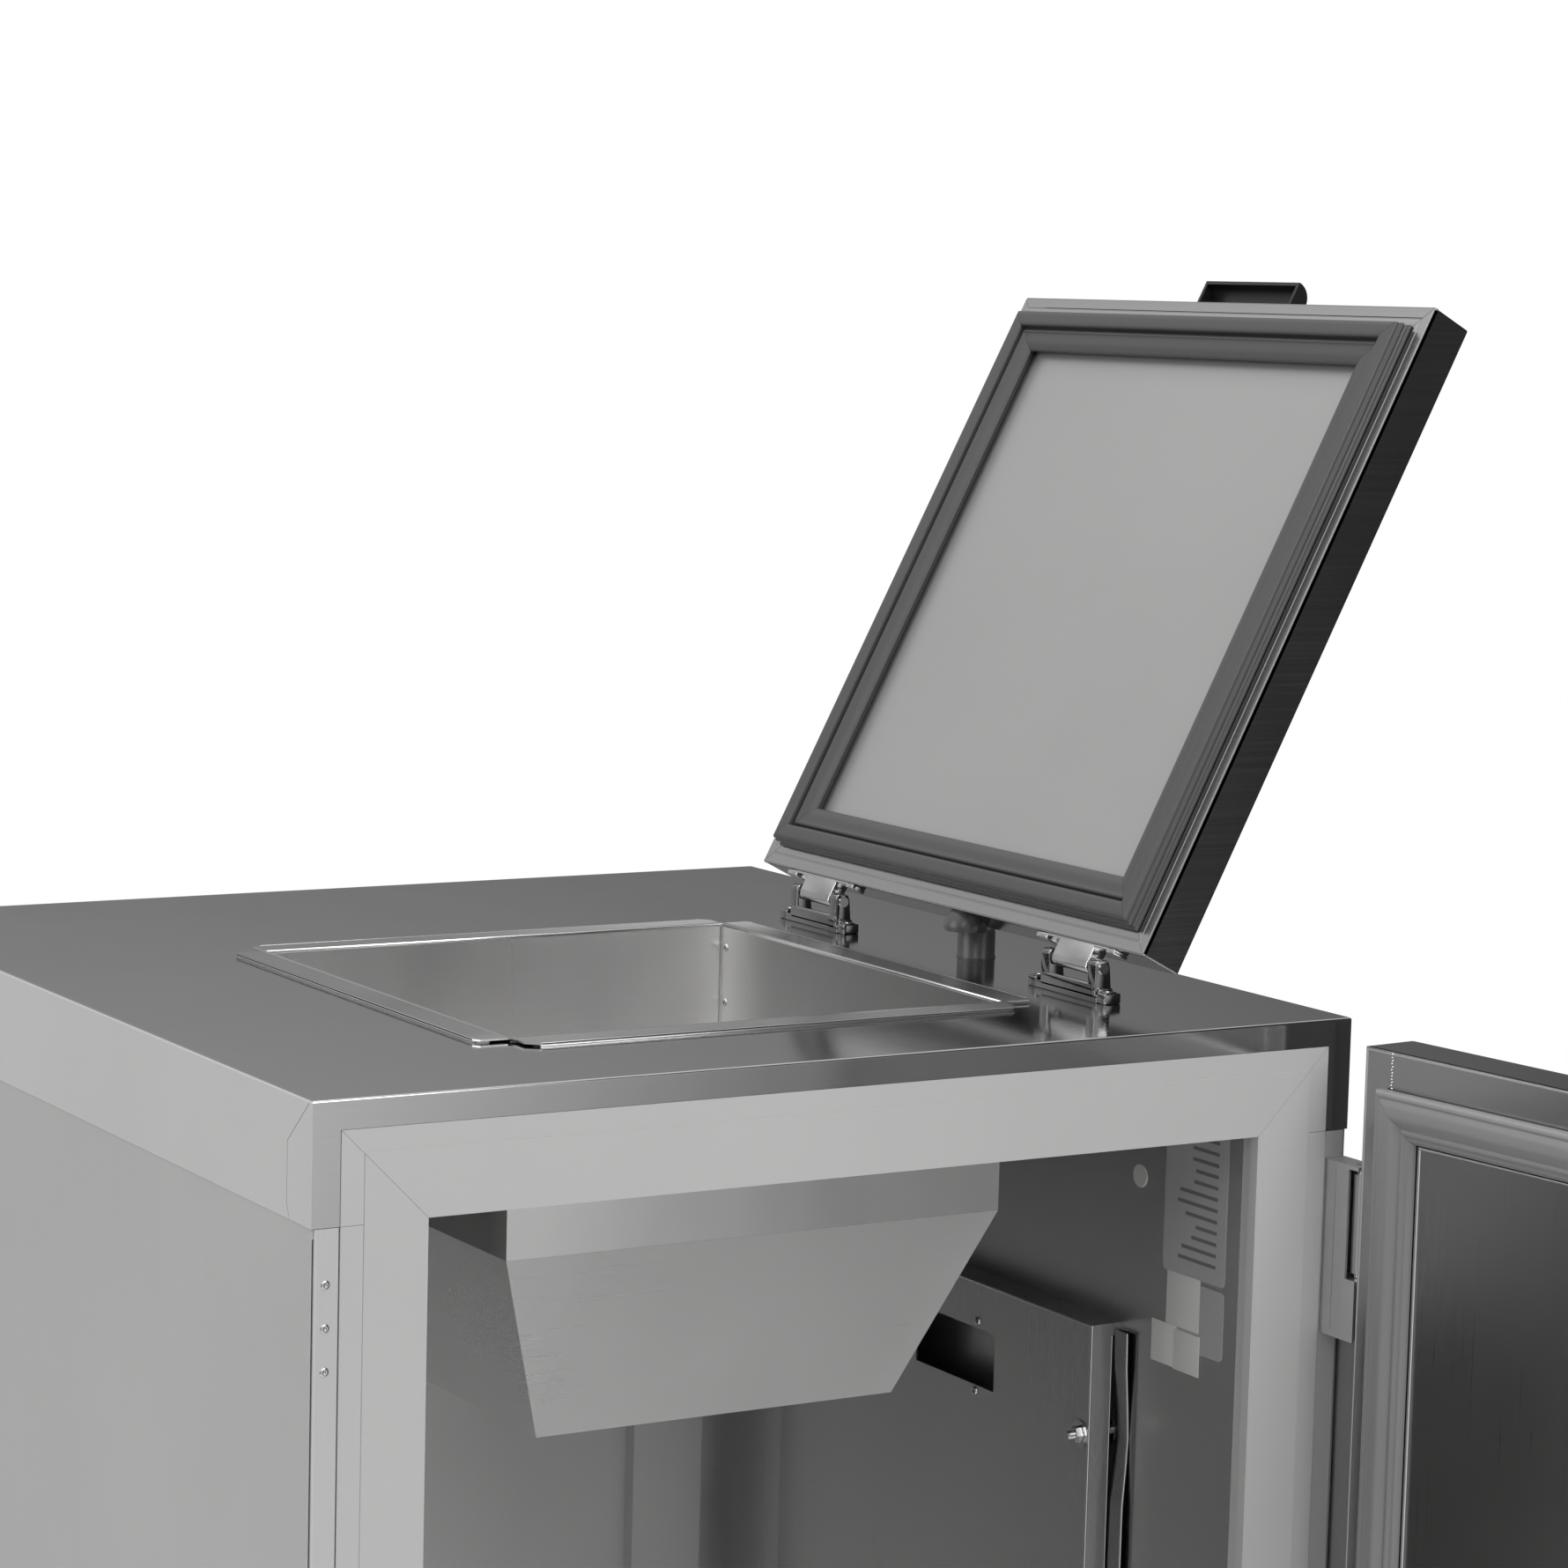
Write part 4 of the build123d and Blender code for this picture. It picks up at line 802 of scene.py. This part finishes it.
def make_rear_screws():
    """Cross-head screws that hold the back panel and the grille."""
    low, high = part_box("rear_panel")
    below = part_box("rear_grille")[0].z
    join = low.z
    rows = [below + 0.030, join - 0.012, join + 0.012, (join + high.z) / 2, high.z - 0.075]
    points = [(x, high.y, z) for x in (low.x + 0.012, high.x - 0.012) for z in rows]
    points += [((low.x + high.x) / 2, high.y, z) for z in (join - 0.012, join + 0.012)]
    shape = joined([repeat(cross_head(), points, FACE_BACK, "zinc_fastener")])
    keep_shape("back_panel_screws", shape, "zinc_fastener", "cabinet", standing, 30.0)


def prism(outline, y0, y1, soft=0.5):
    """Outline in x and z, in millimetres, drawn out from y0 to y1, with its edges eased."""
    shape = bmesh.new()
    near = [shape.verts.new((x / 1000.0, y0 / 1000.0, z / 1000.0)) for x, z in outline]
    far = [shape.verts.new((x / 1000.0, y1 / 1000.0, z / 1000.0)) for x, z in outline]
    count = len(outline)
    for i in range(count):
        n = (i + 1) % count
        shape.faces.new((near[i], near[n], far[n], far[i]))
    shape.faces.new(near)
    shape.faces.new(list(reversed(far)))
    bmesh.ops.recalc_face_normals(shape, faces=shape.faces[:])
    if soft:
        bmesh.ops.bevel(shape, geom=shape.edges[:], offset=soft / 1000.0, segments=3, profile=0.5,
                        affect="EDGES", clamp_overlap=True)
    mesh = bpy.data.meshes.new("prism")
    shape.to_mesh(mesh)
    shape.free()
    return mesh


def corners(x0, x1, z0, z1):
    return [(x0, z0), (x1, z0), (x1, z1), (x0, z1)]


def moved(mesh, x, y, z, turn=None):
    """Mesh shifted by metres, after a turn."""
    mesh.transform(Matrix.Translation((x, y, z)) @ (turn or standing))
    return mesh


def make_lid_hinges():
    """Cast hinges: low base with eased ears and foot blocks, and the tongue that carries the lid."""
    pin = joint("lid_hinge")["pos_m"]
    lid_low, lid_high = closed_box("lid_shell", lid_open)
    bases, leaves, ends, feet = [], [], [], []
    for low, high in islands("lid_hinge_bases"):
        x0, x1 = 1000 * low.x, 1000 * high.x
        y0, y1, z0 = 1000 * low.y, 1000 * high.y, 1000 * low.z
        px, pz = 1000 * pin[0], 1000 * pin[2]
        bases.append(prism(corners(x0, x1, z0, z0 + 5.0), y0 + 8.2, y1 - 8.2, 0.6))
        bases.append(prism([(x0, z0 + 3.0), (x0 + 2.2, z0 + 3.0), (x0 + 2.2, z0 + 11.6), (x0 + 1.0, z0 + 11.6),
                            (x0, z0 + 10.4)], y0 + 12.0, y1 - 16.0, 0.45))
        for y in (y0, y1 - 9.2):
            bases.append(prism(corners(x0 + 0.4, x1 - 0.2, z0, z0 + 6.6), y, y + 9.2, 0.9))
            bases.append(prism(corners(x0 + 2.4, x1 - 2.2, z0 + 6.0, z0 + 7.4), y + 1.8, y + 7.4, 0.6))
        for y in (y0 + 10.0, y0 + 62.0):
            ear = [(x0, z0 + 4.0), (x0 + 12.6, z0 + 4.0), (px + 5.6, pz + 0.5), (px + 4.6, pz + 4.0),
                   (px + 2.2, pz + 5.3), (px - 3.2, pz + 5.3), (px - 4.9, pz + 4.2), (px - 5.3, pz + 2.2),
                   (x0 + 0.2, z0 + 11.0)]
            bases.append(prism(ear, y, y + 9.3, 0.8))
            bases.append(prism([(x0 + 1.6, z0 + 4.0), (x0 + 13.0, z0 + 4.0), (x0 + 12.4, z0 + 8.6),
                                (x0 + 2.4, z0 + 8.6)], y - 1.6, y + 10.9, 0.8))
            ends.append((pin[0], y / 1000.0, pin[2]))
        feet += [((x0 + x1) / 2000.0, y / 1000.0, (z0 + 6.9) / 1000.0) for y in (y0 + 4.6, y1 - 4.6)]

        wall, base = 1000 * lid_high.x + 0.05, 1000 * lid_low.z
        leaves.append(prism(corners(wall, wall + 3.4, base + 0.4, base + 11.5), y0 - 1.0, y0 + 8.0, 0.7))
        leaves.append(prism(corners(wall, wall + 4.1, base + 0.4, base + 23.5), y1 - 12.5, y1, 1.0))
        leaves.append(prism(corners(wall, wall + 1.8, base + 0.4, base + 12.5), y0 + 6.0, y1 - 10.0, 0.4))
        tongue = [(wall + 0.5, base + 0.3), (px - 0.8, pz - 5.2), (px + 3.4, pz - 4.2), (px + 5.2, pz - 1.0),
                  (px + 5.0, pz + 2.2), (px + 2.4, pz + 4.9), (px - 2.6, pz + 5.1), (wall + 3.6, base + 11.4),
                  (wall + 0.5, base + 11.4)]
        leaves.append(prism(tongue, y0 + 21.2, y0 + 59.8, 0.9))
    keep_shape("lid_hinge_base_castings", joined(bases), "hinge_chrome", "cabinet", standing, 30.0,
               ("lid_hinge_bases",))
    keep_shape("lid_hinge_tongues", joined(leaves), "tongue_chrome", "lid", lid_open, 30.0,
               ("lid_hinge_leaves",))
    shape = joined([
        repeat(turned(PIN_END), ends, FACE_FRONT, "chrome"),
        repeat(cross_head(), feet, FACE_UP, "chrome", (0.8, 0.8, 0.6)),
    ])
    keep_shape("lid_hinge_screws", shape, "chrome", "cabinet", standing, 30.0)


def make_lid_stop():
    """Round-nosed rubber buffer on the lid, flattened where it rests on the post, and the post itself."""
    low, high = closed_box("lid_buffer", lid_open)
    shell_low, shell_high = closed_box("lid_shell", lid_open)
    reach = 1000 * (high.x - low.x)
    nose = [(0.0, 0.0), (13.2, 0.0), (13.4, 1.4), (14.0, 2.4), (14.0, reach - 7.0), (13.4, reach - 3.4),
            (11.6, reach - 1.2), (9.0, reach), (0.0, reach)]
    pad = turned(nose, 48)
    pad.transform(lid_open @ Matrix.Translation((low.x, (low.y + high.y) / 2, (shell_low.z + shell_high.z) / 2))
                  @ Matrix.Rotation(math.radians(90.0), 4, "Y"))
    post_low, post_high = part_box("bumper_post")
    below = block((1000 * low.x - 200, -300.0, 1000 * post_low.z - 60),
                  (1000 * high.x + 200, 300.0, 1000 * post_high.z + 0.3))
    pad = carved(pad, [below])
    keep_shape("lid_rest_buffer", joined([pad]), "black_rubber", "lid", standing, 40.0,
               ("lid_buffer",))
    radius, tall = 500 * (post_high.x - post_low.x), 1000 * (post_high.z - post_low.z)
    post = [(0.0, 0.0), (radius, 0.0), (radius, 0.8), (radius - 0.5, 1.5), (radius - 0.5, tall - 2.6),
            (radius - 0.9, tall - 1.2), (radius - 2.0, tall - 0.2), (radius - 3.2, tall), (0.0, tall)]
    made = moved(turned(post, 64), (post_low.x + post_high.x) / 2, (post_low.y + post_high.y) / 2, post_low.z)
    keep_shape("lid_rest_post", joined([made]), "black_rubber", "cabinet", standing, 40.0,
               ("bumper_post",))


def soft_block(low, high, soft=0.3):
    """Box between two corners, in millimetres, with rounded edges."""
    shape = bmesh.new()
    shape.from_mesh(block(low, high))
    bmesh.ops.bevel(shape, geom=shape.edges[:], offset=soft / 1000.0, segments=3, profile=0.5, affect="EDGES")
    mesh = bpy.data.meshes.new("soft_block")
    shape.to_mesh(mesh)
    shape.free()
    return mesh


def make_chute_edges():
    """Rolled fold at the mouth, welded corner seams, and the hems folded under the four rims."""
    low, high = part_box("chute_throat")
    foot = [v.co for v in frame["nodes"]["chute_throat"].data.vertices if v.co.z < low.z + 0.0005]
    across = sorted({round(v.x, 5) for v in foot})
    along = sorted({round(v.y, 5) for v in foot})
    x0, x1, y0, y1 = across[1], across[-2], along[1], along[-2]
    roll = millimetres([(-3.0, 0.03), (-0.9, 0.20), (-0.2, 0.16), (0.25, -0.15), (0.42, -0.7), (0.40, -1.6),
                        (0.1, -2.2), (-0.4, -2.2), (-3.0, -0.4)])
    shape = bmesh.new()
    mitred_ring(shape, (x0, x1, y0, y1), roll, lambda a, b, h: Vector((a, b, high.z + h)))
    seam_length = 1000 * (high.z - low.z) - 2.0
    seam = turned([(0.0, 0.0), (1.0, 0.0), (1.0, seam_length), (0.0, seam_length)], 12)
    corner_points = [(x, y, low.z) for x in (x0 + 0.0002, x1 - 0.0002) for y in (y0 + 0.0002, y1 - 0.0002)]
    shape.from_mesh(repeat(seam, corner_points, FACE_UP, "fold_steel"))
    keep_shape("chute_fold_and_seams", shape, "fold_steel", "cabinet", standing, 50.0)

    left, right, front, back = 1000 * low.x, 1000 * high.x, 1000 * low.y, 1000 * high.y
    top = 1000 * high.z
    a0, a1, b0, b1 = 1000 * x0, 1000 * x1, 1000 * y0, 1000 * y1
    hems = []
    for inset, z0, z1 in ((0.0, top - 1.1, top + 0.08), (1.1, top - 2.15, top - 1.35)):
        hems += [
            soft_block((left + inset, b0 + 5.0, z0), (left + inset + 1.6, b1 - 4.0, z1)),
            soft_block((right - inset - 1.6, b0 + 5.0, z0), (right - inset, b1 - 4.0, z1)),
            soft_block((a0 + 8.0, front + inset, z0), (a1 - 7.0, front + inset + 1.6, z1)),
            soft_block((a0 + 5.0, back - inset - 1.6, z0), (a1 - 7.0, back - inset, z1)),
        ]
    keep_shape("chute_rim_hems", joined(hems), "fold_steel", "cabinet", standing, 40.0)


def make_door_edges():
    """Weld dots along the end cap joints, the door's bright fold, and the bead round its inner panel."""
    low, high = closed_box("door_shell", door_open)
    inner_high = closed_box("door_inner_panel", door_open)[1]
    parts = []
    x0, x1, z0, z1 = 1000 * low.x, 1000 * high.x, 1000 * low.z, 1000 * high.z
    dot = turned([(0.0, 0.0), (0.75, 0.0), (0.72, 0.25), (0.45, 0.5), (0.0, 0.58)], 10)
    dots = []
    for x in (x0 + 22.5, x1 - 22.5):
        for start, step in ((z1 - 1.6, -1.9), (z0 + 1.6, 1.9)):
            dots += [((x + 0.28 * math.sin(9.0 * k)) / 1000.0, high.y - 0.0001, (start + step * k) / 1000.0)
                     for k in range(13)]
    parts.append(repeat(dot, dots, FACE_BACK, "fold_steel"))
    keep_shape("door_weld_dots", joined(parts), "fold_steel", "door", door_open, 40.0)
    fold = millimetres([(0.0, -2.2), (0.0, -0.35), (0.12, -0.08), (0.45, 0.0), (1.3, 0.06), (1.9, 0.0),
                        (2.0, -0.4)])
    shape = bmesh.new()
    mitred_ring(shape, (low.x, high.x, low.z, high.z), fold, lambda a, b, h: Vector((a, high.y + h, b)))
    keep_shape("door_fold_line", shape, "fold_steel", "door", door_open, 60.0)
    gasket_low, gasket_high = closed_box("door_gasket", door_open)
    rect = (gasket_low.x + 0.0302, gasket_high.x - 0.0302, gasket_low.z + 0.0302, gasket_high.z - 0.0302)
    half_round = [(0.0, -0.6), (0.0, 1.2), (0.6, 2.0), (1.8, 2.0), (2.4, 1.2), (2.4, -0.6)]
    bead = rounded_profile(millimetres(half_round))
    shape = bmesh.new()
    mitred_ring(shape, rect, bead, lambda a, b, h: Vector((a, inner_high.y + h, b)))
    keep_shape("door_panel_bead", shape, "fold_steel", "door", door_open, 40.0)


def make_cover_edges():
    """Bright folds of the evaporator cover and the front edge of the bowed strip behind it."""
    low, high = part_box("evaporator_cover")
    strip = [v.co for v in frame["nodes"]["evaporator_clamp_strip"].data.vertices]
    front = sorted({round(v.y, 4) for v in strip})[1]
    rows = {}
    for v in strip:
        if abs(v.y - front) < 0.0002:
            rows.setdefault(round(v.z, 4), []).append(v.x)
    path = [(min(xs), z) for z, xs in sorted(rows.items())]
    shape = bmesh.new()
    ring_before = None
    for x, z in path:
        ring = [shape.verts.new((x + dx / 1000.0, front + dy / 1000.0, z)) for dx, dy in
                ((-0.25, 0.5), (-0.25, -0.25), (0.1, -0.6), (0.9, -0.6), (1.25, -0.25), (1.25, 0.5))]
        if ring_before:
            for k in range(6):
                n = (k + 1) % 6
                shape.faces.new((ring_before[k], ring_before[n], ring[n], ring[k]))
        else:
            shape.faces.new(ring)
        ring_before = ring
    shape.faces.new(list(reversed(ring_before)))
    keep_shape("clamp_strip_edge", shape, "fold_steel", "cabinet", standing, 60.0)
    x0, y0, z0, z1 = 1000 * low.x, 1000 * low.y, 1000 * low.z, 1000 * high.z
    folds = [
        soft_block((x0 - 0.15, y0 - 0.15, z0 + 0.4), (x0 + 1.6, y0 + 1.6, z1 - 0.4), 0.7),
        soft_block((x0 - 0.12, y0 + 1.2, z1 - 1.4), (x0 + 1.6, 1000 * high.y - 1.0, z1 + 0.12), 0.6),
        soft_block((x0 + 15.6, y0 - 0.12, z0 + 13.0), (x0 + 16.6, y0 + 1.0, z1 - 8.4), 0.4),
    ]
    keep_shape("evaporator_cover_folds", joined(folds), "fold_steel", "cabinet", standing, 40.0)


def make_stickers():
    """Three blank stickers that overlap the plates on the right wall."""
    plate_low, plate_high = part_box("rating_plate")
    wall = 1000 * plate_low.x
    rear = 1000 * plate_high.y
    top = 1000 * plate_high.z
    sheets = []
    places = ((5.5, 40.5, 108.0, 142.0), (-9.0, 17.0, 142.2, 169.0), (15.0, 42.0, 144.0, 169.8))
    for layer, (back, front, high, low) in enumerate(places):
        lift = 0.12 * (layer + 1)
        sheet = soft_block((wall - lift, rear - front, top - low), (wall + 0.2, rear - back, top - high), 0.05)
        sheets.append(sheet)
    keep_shape("blank_stickers", joined(sheets), "sticker_paper", "cabinet", standing, 40.0)


def make_dial():
    """Raised ticks round the thermostat."""
    pin = joint("thermostat_turn")["pos_m"]
    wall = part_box("rear_panel")[1].y
    meshes = []
    tick = block((-0.45, -1.8, -0.05), (0.45, 1.8, 0.25))
    for step in range(9):
        angle = math.radians(225.0 - 33.75 * step)
        reach = 0.0212
        spot = (pin[0] - math.cos(angle) * reach, wall, pin[2] + math.sin(angle) * reach)
        meshes.append(repeat(tick.copy(), [spot], (-90.0, math.degrees(angle) - 90.0, 0.0), "black_plastic"))
    keep_shape("thermostat_scale", joined(meshes), "black_plastic", "cabinet", standing, 30.0)


def make_condenser():
    """Finned coil: thin plates on nine straight tubes in two staggered columns, between two end plates."""
    low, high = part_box("condenser")
    inner_low, inner_high = low + Vector((0.004, 0.002, 0.004)), high - Vector((0.004, 0.002, 0.004))
    fins = 62
    fin = block((-0.11, 1000 * (inner_low.y + 0.002), 1000 * inner_low.z),
                (0.11, 1000 * (inner_high.y - 0.002), 1000 * inner_high.z))
    pitch = (inner_high.x - inner_low.x) / (fins - 1)
    points = [(inner_low.x + pitch * i, 0.0, 0.0) for i in range(fins)]
    meshes = [repeat(fin, points, FACE_UP, "aluminium_fins")]
    ends = block((-0.75, 1000 * low.y, 1000 * low.z), (0.75, 1000 * high.y, 1000 * high.z))
    meshes.append(repeat(ends, [(low.x + 0.00075, 0, 0), (high.x - 0.00075, 0, 0)], FACE_UP, "aluminium_fins"))
    tube_length = 1000 * (high.x - low.x) - 4
    tube = turned([(0.0, 0.0), (4.2, 0.0), (4.2, tube_length), (0.0, tube_length)], 16)
    tubes = [(low.x + 0.002, low.y + 0.010 + 0.014 * (row % 2), low.z + 0.022 + 0.026 * row)
             for row in range(9)]
    meshes.append(repeat(tube, tubes, FACE_RIGHT, "aluminium_fins"))
    keep_shape("finned_condenser", joined(meshes), "aluminium_fins", "cabinet", standing, 30.0,
               ("condenser",))


make_rivets()
make_cover_fasteners()
make_rear_screws()
make_lid_hinges()
make_lid_stop()
make_chute_edges()
make_door_edges()
make_cover_edges()
make_stickers()
make_dial()
make_condenser()


# ---------------------------------------------------------------- floor and light
def lay_floor():
    """Round pale floor that fades out into the backdrop."""
    shape = bmesh.new()
    bmesh.ops.create_circle(shape, cap_ends=True, segments=96, radius=2.6)
    mesh = bpy.data.meshes.new("floor")
    shape.to_mesh(mesh)
    shape.free()
    floor = bpy.data.objects.new("floor", mesh)
    bpy.context.scene.collection.objects.link(floor)
    material, recipe = new_material("pale_floor")
    place = recipe.node("ShaderNodeTexCoord", {}, {}, out="Object")
    reach = recipe.node("ShaderNodeVectorMath", {"operation": "LENGTH"}, {0: place}, out="Value")
    edge = recipe.node("ShaderNodeMapRange", {"interpolation_type": "SMOOTHSTEP"},
                       {"Value": reach, "From Min": 1.2, "From Max": 2.5})
    speck = recipe.noise(place, 60.0, 4.0)
    shade = recipe.blend(speck, grey(0.80), grey(0.86))
    matt = recipe.node("ShaderNodeBsdfDiffuse", {}, {"Color": shade})
    clear = recipe.node("ShaderNodeBsdfTransparent")
    mixed = recipe.node("ShaderNodeMixShader", {}, {0: edge, 1: matt, 2: clear})
    recipe.end("ShaderNodeOutputMaterial", mixed)
    floor.data.materials.append(material)


def hang_softbox(name, centre, aim, width, height, power):
    panel = bpy.data.lights.new(name, "AREA")
    panel.shape = "RECTANGLE"
    panel.size = width
    panel.size_y = height
    panel.energy = power
    lamp = bpy.data.objects.new(name, panel)
    lamp.location = centre
    lamp.rotation_euler = (Vector(aim) - Vector(centre)).to_track_quat("-Z", "Y").to_euler()
    bpy.context.scene.collection.objects.link(lamp)


def light_studio():
    """White to the camera. Reflections see walls to the left, behind, overhead and in front instead.

    Their brightness is given below, and the front one is cut off towards the left.
    """
    world = bpy.data.worlds.new("studio")
    world.use_nodes = True
    bpy.context.scene.world = world
    recipe = Recipe(world.node_tree)
    way = recipe.node("ShaderNodeTexCoord", {}, {}, out="Generated")

    def toward(direction, start, stop):
        """0 to 1 as a direction turns towards the given one."""
        aim = Vector(direction).normalized()
        dot = {"operation": "DOT_PRODUCT"}
        cosine = recipe.node("ShaderNodeVectorMath", dot, {0: way, 1: aim}, out="Value")
        bounds = {"Value": cosine, "From Min": start, "From Max": stop}
        return recipe.node("ShaderNodeMapRange", {"interpolation_type": "SMOOTHSTEP"}, bounds)

    height = recipe.node("ShaderNodeSeparateXYZ", {}, {"Vector": way}, out=2)
    rise = recipe.node("ShaderNodeMapRange", {"interpolation_type": "SMOOTHSTEP"},
                       {"Value": height, "From Min": 0.09, "From Max": 0.23})
    left_wall = toward((-1.0, 0.35, 0.0), 0.05, 0.75)
    back_wall = toward((0.08, 1.0, 0.0), 0.66, 1.0)
    overhead = toward((-0.1, 0.1, 1.0), 0.45, 0.85)
    front = toward((-0.2, -1.0, 0.0), 0.664, 0.85) * toward((1.0, 0.0, 0.0), -0.56, -0.26)
    level = 0.045 + 0.42 * left_wall + (0.12 + 0.26 * rise) * back_wall + 0.9 * overhead + 0.86 * front
    seen = recipe.node("ShaderNodeLightPath", {}, {}, out="Is Camera Ray")
    plain = recipe.node("ShaderNodeBackground", {}, {"Color": grey(1.0), "Strength": 1.0})
    walls = recipe.node("ShaderNodeBackground", {}, {"Color": grey(1.0), "Strength": level})
    mixed = recipe.node("ShaderNodeMixShader", {}, {0: seen, 1: walls, 2: plain})
    recipe.end("ShaderNodeOutputWorld", mixed)
    hang_softbox("softbox_left", (-3.6, 0.6, 2.4), (0.0, 0.0, 1.0), 2.4, 2.0, 45.0)
    hang_softbox("softbox_front", (0.6, -3.8, 3.6), (0.0, 0.0, 0.9), 2.2, 2.0, 75.0)
    hang_softbox("softbox_viewer", (-2.3, -3.4, 3.6), (0.0, 0.0, 1.2), 1.2, 1.2, 22.0)
    hang_softbox("softbox_above", (0.0, 0.2, 3.8), (0.0, 0.0, 1.0), 1.6, 1.6, 30.0)
    bpy.context.scene.view_settings.view_transform = "Standard"


lay_floor()
light_studio()
